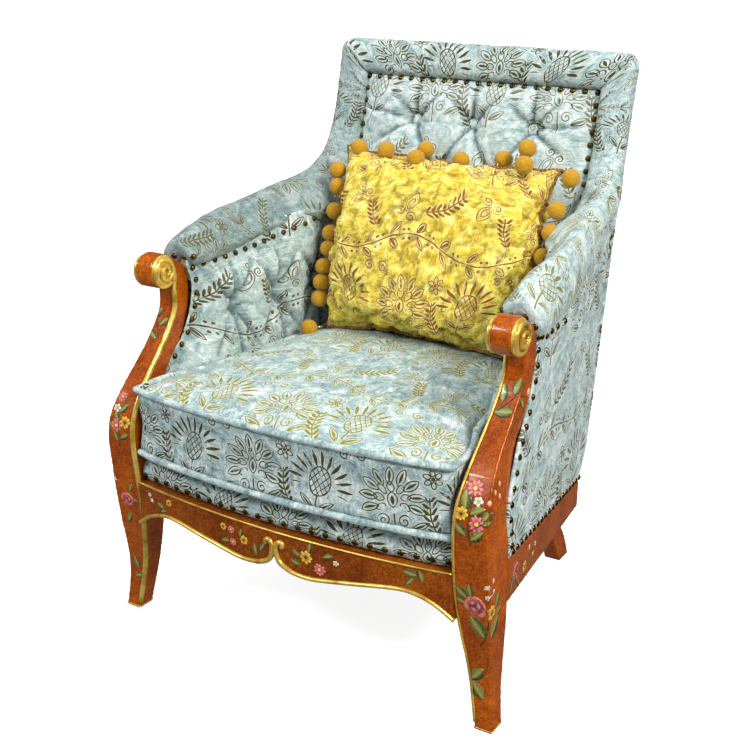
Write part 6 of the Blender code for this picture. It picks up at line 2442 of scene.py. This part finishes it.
@dataclass
class ThrowPillow:
    """Knife-edged throw pillow, blown up as cloth, with braid, beads and pom-poms."""

    camera: "Studio"
    half: float = 0.1900
    half_tall: float = 0.1655
    half_thick: float = 0.0800
    seam: float = 0.0020
    lean: float = math.radians(20.0)
    roll: float = math.radians(0.2)
    x: float = 0.012
    y: float = 0.442
    z: float = 0.625
    draw: float = 0.012
    flare: float = 0.022
    full: float = 0.002
    cord: float = 0.0032
    pompom: float = 0.0158
    shag: float = 0.0011
    bead: float = 0.0036
    bead_out: float = 0.0038
    cap: float = 0.0020
    cap_start: float = 0.005
    least_stem: float = 0.006
    columns: int = 84
    rows: int = 74
    ease_in: float = 1.05
    rim_rise: float = 0.004
    rise: float = 0.030
    most_grow: float = 1.6
    room_gap: float = 0.0015
    front_room: float = 1.06
    pressure: float = 5.0
    frames: int = 22
    hung: tuple[tuple[float, float, float], ...] = (
        (337.9, 169.8, 0.010), (337.9, 186.4, 0.010), (334.6, 210.8, 0.012), (330.5, 233.0, 0.014),
        (328.7, 248.4, 0.014), (323.7, 266.3, 0.014), (321.3, 282.2, 0.014), (319.4, 298.3, 0.014),
        (308.9, 327.9, 0.030), (359.6, 147.9, 0.010), (386.2, 150.0, 0.022), (416.1, 158.7, 0.044),
        (425.8, 149.8, -0.026), (460.9, 160.5, -0.026), (503.4, 159.6, -0.026), (527.5, 148.5, 0.004),
        (524.2, 165.1, 0.044), (570.9, 178.5, 0.004), (556.7, 210.5, 0.004), (550.6, 233.0, 0.004),
        (542.6, 257.2, 0.004), (528.4, 276.1, 0.004), (518.2, 287.4, 0.004), (508.0, 312.0, 0.000),
        (503.0, 336.0, 0.000),
    )

    def axes(self) -> tuple[Vector, Vector]:
        """Directions up the pillow and out of its front."""
        return (Vector((0.0, math.sin(self.lean), math.cos(self.lean))),
                Vector((0.0, -math.cos(self.lean), math.sin(self.lean))))

    def laid(self, flat: Vector) -> Vector:
        """Places a point of the pillow's own axes: across, up and out."""
        up, front = self.axes()
        across = flat.x * math.cos(self.roll) + flat.y * math.sin(self.roll)
        rise = flat.y * math.cos(self.roll) - flat.x * math.sin(self.roll)
        return Vector((self.x + across, self.y, self.z)) + up * rise + front * flat.z

    def swell(self, u: float, v: float) -> float:
        """Half thickness at a place."""
        return self.seam + self.half_thick * max((1.0 - u * u) * (1.0 - v * v), 0.0) ** 0.5

    def grid(self) -> Shape:
        """The flat cover: two sheets sewn along their rim."""
        shape = Shape()
        for side in (1.0, -1.0):
            for j in range(self.rows + 1):
                for i in range(self.columns + 1):
                    u, v = 2.0 * i / self.columns - 1.0, 2.0 * j / self.rows - 1.0
                    bulge = self.rim_rise + self.rise * (1.0 - u * u) * (1.0 - v * v)
                    across, up = u * self.half * self.ease_in, v * self.half_tall * self.ease_in
                    shape.points.append(Vector((across, up, side * bulge)))
                    shape.cloth.append((0.38 * i / self.columns + 0.335,
                                        0.336 * j / self.rows + (0.195 if side > 0.0 else 0.31), 0.0))
        shape.faces = sheet_faces(self.columns, self.rows)[0]
        return shape

    def blown(self, flat: Shape) -> list[Vector]:
        """Blows the flat cover up as cloth.

        Args:
            flat: The flat cover.

        Returns:
            Its points once it is full, in the pillow's own axes.
        """
        mesh = bpy.data.meshes.new("cover_flat")
        mesh.from_pydata(flat.points, [], flat.faces)
        obj = bpy.data.objects.new("cover_flat", mesh)
        scene = bpy.context.scene
        scene.collection.objects.link(obj)
        cloth = obj.modifiers.new("fill", "CLOTH")
        cloth.point_cache.frame_start, cloth.point_cache.frame_end = 1, self.frames
        cloth.settings.quality = 6
        cloth.settings.mass = 0.2
        cloth.settings.tension_stiffness = cloth.settings.compression_stiffness = 22.0
        cloth.settings.shear_stiffness = 6.0
        cloth.settings.bending_stiffness = 0.25
        cloth.settings.use_pressure = True
        cloth.settings.uniform_pressure_force = self.pressure
        cloth.settings.effector_weights.gravity = 0.0
        cloth.collision_settings.use_collision = False
        for frame in range(1, self.frames + 1):
            scene.frame_set(frame)
        full = obj.evaluated_get(bpy.context.evaluated_depsgraph_get()).to_mesh()
        points = [vertex.co.copy() for vertex in full.vertices]
        bpy.data.objects.remove(obj)
        scene.frame_set(1)
        return points

    def straighten(self, points: list[Vector]) -> None:
        """Draws the blown cover's sides out to straight seams, in place.

        Args:
            points: The cover's points, front sheet first.
        """
        row, sheet = self.columns + 1, (self.columns + 1) * (self.rows + 1)

        def evened(widths: list[float]) -> list[float]:
            """Averages neighbouring widths, so that small waves stay."""
            last = len(widths) - 1
            picks = [[widths[min(max(k + step, 0), last)] for step in range(-4, 5)] for k in range(last + 1)]
            return [sum(pick) / len(pick) for pick in picks]

        across = evened([(points[j * row + self.columns].x - points[j * row].x) / 2.0
                         for j in range(self.rows + 1)])
        for index, point in enumerate(points):
            j = index % sheet // row
            v = 2.0 * j / self.rows - 1.0
            point.x *= (self.half + self.flare * max(v, 0.0) ** 3 + self.full * (1.0 - v * v)) / across[j]
        tall = evened([(points[self.rows * row + i].y - points[i].y) / 2.0 for i in range(row)])
        for index, point in enumerate(points):
            i = index % sheet % row
            u = 2.0 * i / self.columns - 1.0
            point.y *= (self.half_tall - self.draw * (1.0 - u * u)) / tall[i]

    def cover(self) -> Shape:
        """The stuffed cover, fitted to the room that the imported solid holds."""
        shape = self.grid()
        points = self.blown(shape)
        count = len(points) // 2
        thick = max(point.z for point in points[:count])
        LOG.info("pillow as blown: half thickness %.3f", thick)
        self.straighten(points)
        grow = (self.half_thick + self.seam) / thick
        for index, point in enumerate(points):
            i, j = index % count % (self.columns + 1), index % count // (self.columns + 1)
            room = self.swell(2.0 * i / self.columns - 1.0, 2.0 * j / self.rows - 1.0) + self.room_gap
            out = point.z * min(grow, self.most_grow)
            out = min(out, room * self.front_room) if index < count else max(out, -room)
            points[index] = Vector((point.x, point.y, out))
        shape.points = points
        shape.rippled(0.0050, 27.0, 1.0, True).rippled(0.0026, 62.0, 2.0, True)
        low = min(self.laid(point).z for point in shape.points)
        self.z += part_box("throw_pillow")[0].z - low
        shape.points = [self.laid(point) for point in shape.points]
        self.rim = [(shape.points[number] + shape.points[number + count]) * 0.5
                    for number in sheet_faces(self.columns, self.rows)[1]]
        return shape

    def braid(self) -> Shape:
        """Twisted braid round the rim."""
        middle = self.laid(Vector())
        front = self.axes()[1]
        points = []
        for point in self.rim:
            out = point - middle
            out = (out - front * out.dot(front)).normalized()
            points.append(point + out * (self.cord * 0.6))
        line = along_line(points + points[:1], 0.0022)[:-1]
        self.cord_line = line
        shape = Shape()
        turns = round(len(line) / 7.0)
        for strand in range(2):
            wound = []
            for index, point in enumerate(line):
                along = (line[(index + 1) % len(line)] - line[index - 1]).normalized()
                angle = math.tau * (turns * index / len(line) + strand / 2.0)
                offset = front * math.cos(angle) + along.cross(front) * math.sin(angle)
                wound.append(point + offset * (self.cord * 0.55))
            shape.join(swept(wound, self.cord * 0.62, 6, True))
        return shape

    def balls(self) -> list[tuple[Vector, Vector]]:
        """Middle of each pom-pom and the braid point that it hangs from."""
        front = self.axes()[1]
        found = []
        for x, y, out in self.hung:
            start, way = self.camera.ray((x, y))
            middle = self.laid(Vector((0.0, 0.0, out)))
            place = start + way * ((middle - start).dot(front) / way.dot(front))
            found.append((place, min(self.cord_line, key=lambda point: (point - place).length)))
        return found

    def build(self) -> None:
        """Builds pillow and fringe."""
        Piece("throw_pillow_covered", GOLD, Body.PILLOW, Slot.GOLD, ["throw_pillow"], 0.8).make(self.cover())
        braid = self.braid()
        wool, beads, caps = Shape(), Shape(), Shape()
        for number, (place, root) in enumerate(self.balls()):
            way = (place - root).normalized()
            wool.join(ball(place, self.pompom, self.shag, 4, number))
            beads.join(ball(root + way * self.bead_out, self.bead, 0.0, 2))
            stem = (place - root).length - self.pompom * 0.85
            if stem > self.least_stem:
                caps.join(swept([root + way * self.cap_start, root + way * stem], self.cap, 8))
        Piece("pompoms", WOOL, Body.PILLOW, Slot.WOOL, ["pompom_fringe"]).make(wool)
        Piece("fringe_braid", BRAID, Body.PILLOW, Slot.WOOL).make(braid)
        Piece("fringe_beads", BEAD, Body.PILLOW).make(beads)
        Piece("fringe_caps", CAP, Body.PILLOW).make(caps)


# Frame nodes that stay, and the studio


@dataclass
class HiddenFrame:
    """Rails, blocks and springs inside the upholstery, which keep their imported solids."""

    wood: tuple[str, ...] = ("arm_rail", "arm_tack_rail", "corner_block", "crest_rail", "back_tack_rail",
                             "front_spring_rail", "back_seat_rail")
    painted: str = "back_seat_rail"

    def build(self, nodes: dict[str, bpy.types.Object]) -> None:
        """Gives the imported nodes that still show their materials."""
        for name, obj in nodes.items():
            finish = STEEL if name.startswith("seat_spring") else LACQUER if name == self.painted else BEECH
            if finish is STEEL or name.startswith(self.wood):
                obj.data.materials.clear()
                obj.data.materials.append(FINISHES.of(finish))
                LOG.info("%s: packed solid in %s", name, finish.name)


@dataclass
class Studio:
    """Camera at the photograph's angle, pale floor and soft light."""

    place: Triple = (1.0624, -1.7852, 1.1859)
    azimuth: float = 31.624
    elevation: float = 20.279
    lens: float = 59.84
    sensor: float = 36.0
    picture: float = 750.0
    ambient: float = 0.50
    mirrored: float = 0.11
    floor_reach: float = 30.0
    floor_glow: float = 0.78
    lamps: tuple[tuple[str, Triple, Triple, float, float, Colour], ...] = (
        ("key", (2.7, -1.2, 2.8), (0.0, 0.0, 0.5), 0.9, 132.0, srgb(255, 251, 244)),
        ("fill", (-1.6, -2.6, 2.9), (0.0, 0.0, 0.55), 0.7, 66.0, srgb(248, 251, 255)),
        ("top", (0.0, 0.3, 3.2), (0.0, 0.0, 0.5), 1.4, 24.0, srgb(255, 255, 255)),
    )

    def back(self) -> Vector:
        """Direction from the chair to the camera."""
        turn, up = math.radians(self.azimuth), math.radians(self.elevation)
        return Vector((math.sin(turn) * math.cos(up), -math.cos(turn) * math.cos(up), math.sin(up)))

    def ray(self, pixel: Pair) -> tuple[Vector, Vector]:
        """Gives start and direction of the view through a pixel, in chair coordinates."""
        turn = (-self.back()).to_track_quat("-Z", "Y")
        half = self.sensor / 2.0 / self.lens
        x, y = (2.0 * value / self.picture - 1.0 for value in pixel)
        flat = Vector((x * half, -y * half, -1.0))
        return Vector(self.place) + Vector((0.0, DEPTH_MIDDLE, 0.0)), (turn @ flat).normalized()

    def lamp(self, name: str, place: Triple, aim: Triple, size: float, power: float, colour: Colour) -> None:
        """Adds a soft area light.

        Args:
            name: Its name.
            place: Where it stands.
            aim: What it points at.
            size: Side of its panel.
            power: Its power in watts.
            colour: Its colour.
        """
        data = bpy.data.lights.new(name, "AREA")
        data.shape = "SQUARE"
        data.size = size
        data.energy = power
        data.color = colour[:3]
        obj = bpy.data.objects.new(name, data)
        obj.location = place
        obj.rotation_mode = "QUATERNION"
        obj.rotation_quaternion = (Vector(aim) - Vector(place)).to_track_quat("-Z", "Y")
        bpy.context.scene.collection.objects.link(obj)

    def build(self) -> None:
        """Builds camera, floor, world and lights."""
        scene = bpy.context.scene
        data = bpy.data.cameras.new("camera")
        data.lens = self.lens
        data.sensor_width = self.sensor
        camera = bpy.data.objects.new("camera", data)
        camera.location = self.place
        camera.rotation_mode = "QUATERNION"
        camera.rotation_quaternion = (-self.back()).to_track_quat("-Z", "Y")
        scene.collection.objects.link(camera)
        scene.camera = camera
        scene.view_settings.view_transform = "Standard"

        mesh = bpy.data.meshes.new("floor")
        reach = self.floor_reach
        corners = [(-reach, -reach, 0.0), (reach, -reach, 0.0), (reach, reach, 0.0), (-reach, reach, 0.0)]
        mesh.from_pydata(corners, [], [(0, 1, 2, 3)])
        floor = bpy.data.objects.new("floor", mesh)
        scene.collection.objects.link(floor)
        graph = Graph("pale_floor")
        tone = graph.cloud(graph.place(), 3.0, 2.0)
        mesh.materials.append(graph.set(Base_Color=graph.ramp(tone, [(0.3, srgb(250, 250, 250)),
                                                                   (0.7, srgb(253, 253, 253))]),
                                        Roughness=0.9, Specular_IOR_Level=0.0,
                                        Emission_Color=(1.0, 1.0, 1.0, 1.0), Emission_Strength=self.floor_glow))
        floor.visible_diffuse = False
        floor.visible_glossy = False

        world = bpy.data.worlds.new("studio")
        world.use_nodes = True
        scene.world = world
        tree = world.node_tree
        ground = tree.nodes["Background"]
        ground.inputs["Color"].default_value = (1.0, 1.0, 1.0, 1.0)
        paths = tree.nodes.new("ShaderNodeLightPath")
        strength = None
        factors = {"Is Camera Ray": 1.0 - self.ambient, "Is Glossy Ray": self.mirrored - self.ambient}
        for rays, factor in factors.items():
            step = tree.nodes.new("ShaderNodeMath")
            step.operation = "MULTIPLY_ADD"
            step.inputs[1].default_value = factor
            step.inputs[2].default_value = self.ambient
            tree.links.new(paths.outputs[rays], step.inputs[0])
            if strength:
                tree.links.new(strength, step.inputs[2])
            strength = step.outputs[0]
        tree.links.new(strength, ground.inputs["Strength"])
        for lamp in self.lamps:
            self.lamp(*lamp)


def main() -> None:
    """Loads the frame and dresses it."""
    logging.basicConfig(level=logging.INFO, format="%(name)s: %(message)s")
    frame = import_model()
    studio = Studio()
    studio.build()
    wood = ShowWood()
    wood.build(frame["nodes"])
    Gilding().build()
    PaintedFlowers(wood, studio).build()
    back, border, arms, rear, seat = InsideBack(), Border(), Arms(), OutsideBack(), SeatBase()
    for covered in (back, border, arms, rear, seat):
        covered.build()
    Nails([back.pad, border.right, *arms.right, rear.panel, seat.front], studio).build()
    SeatCushion().build()
    ThrowPillow(studio).build()
    HiddenFrame().build(frame["nodes"])


if __name__ == "__main__":
    main()
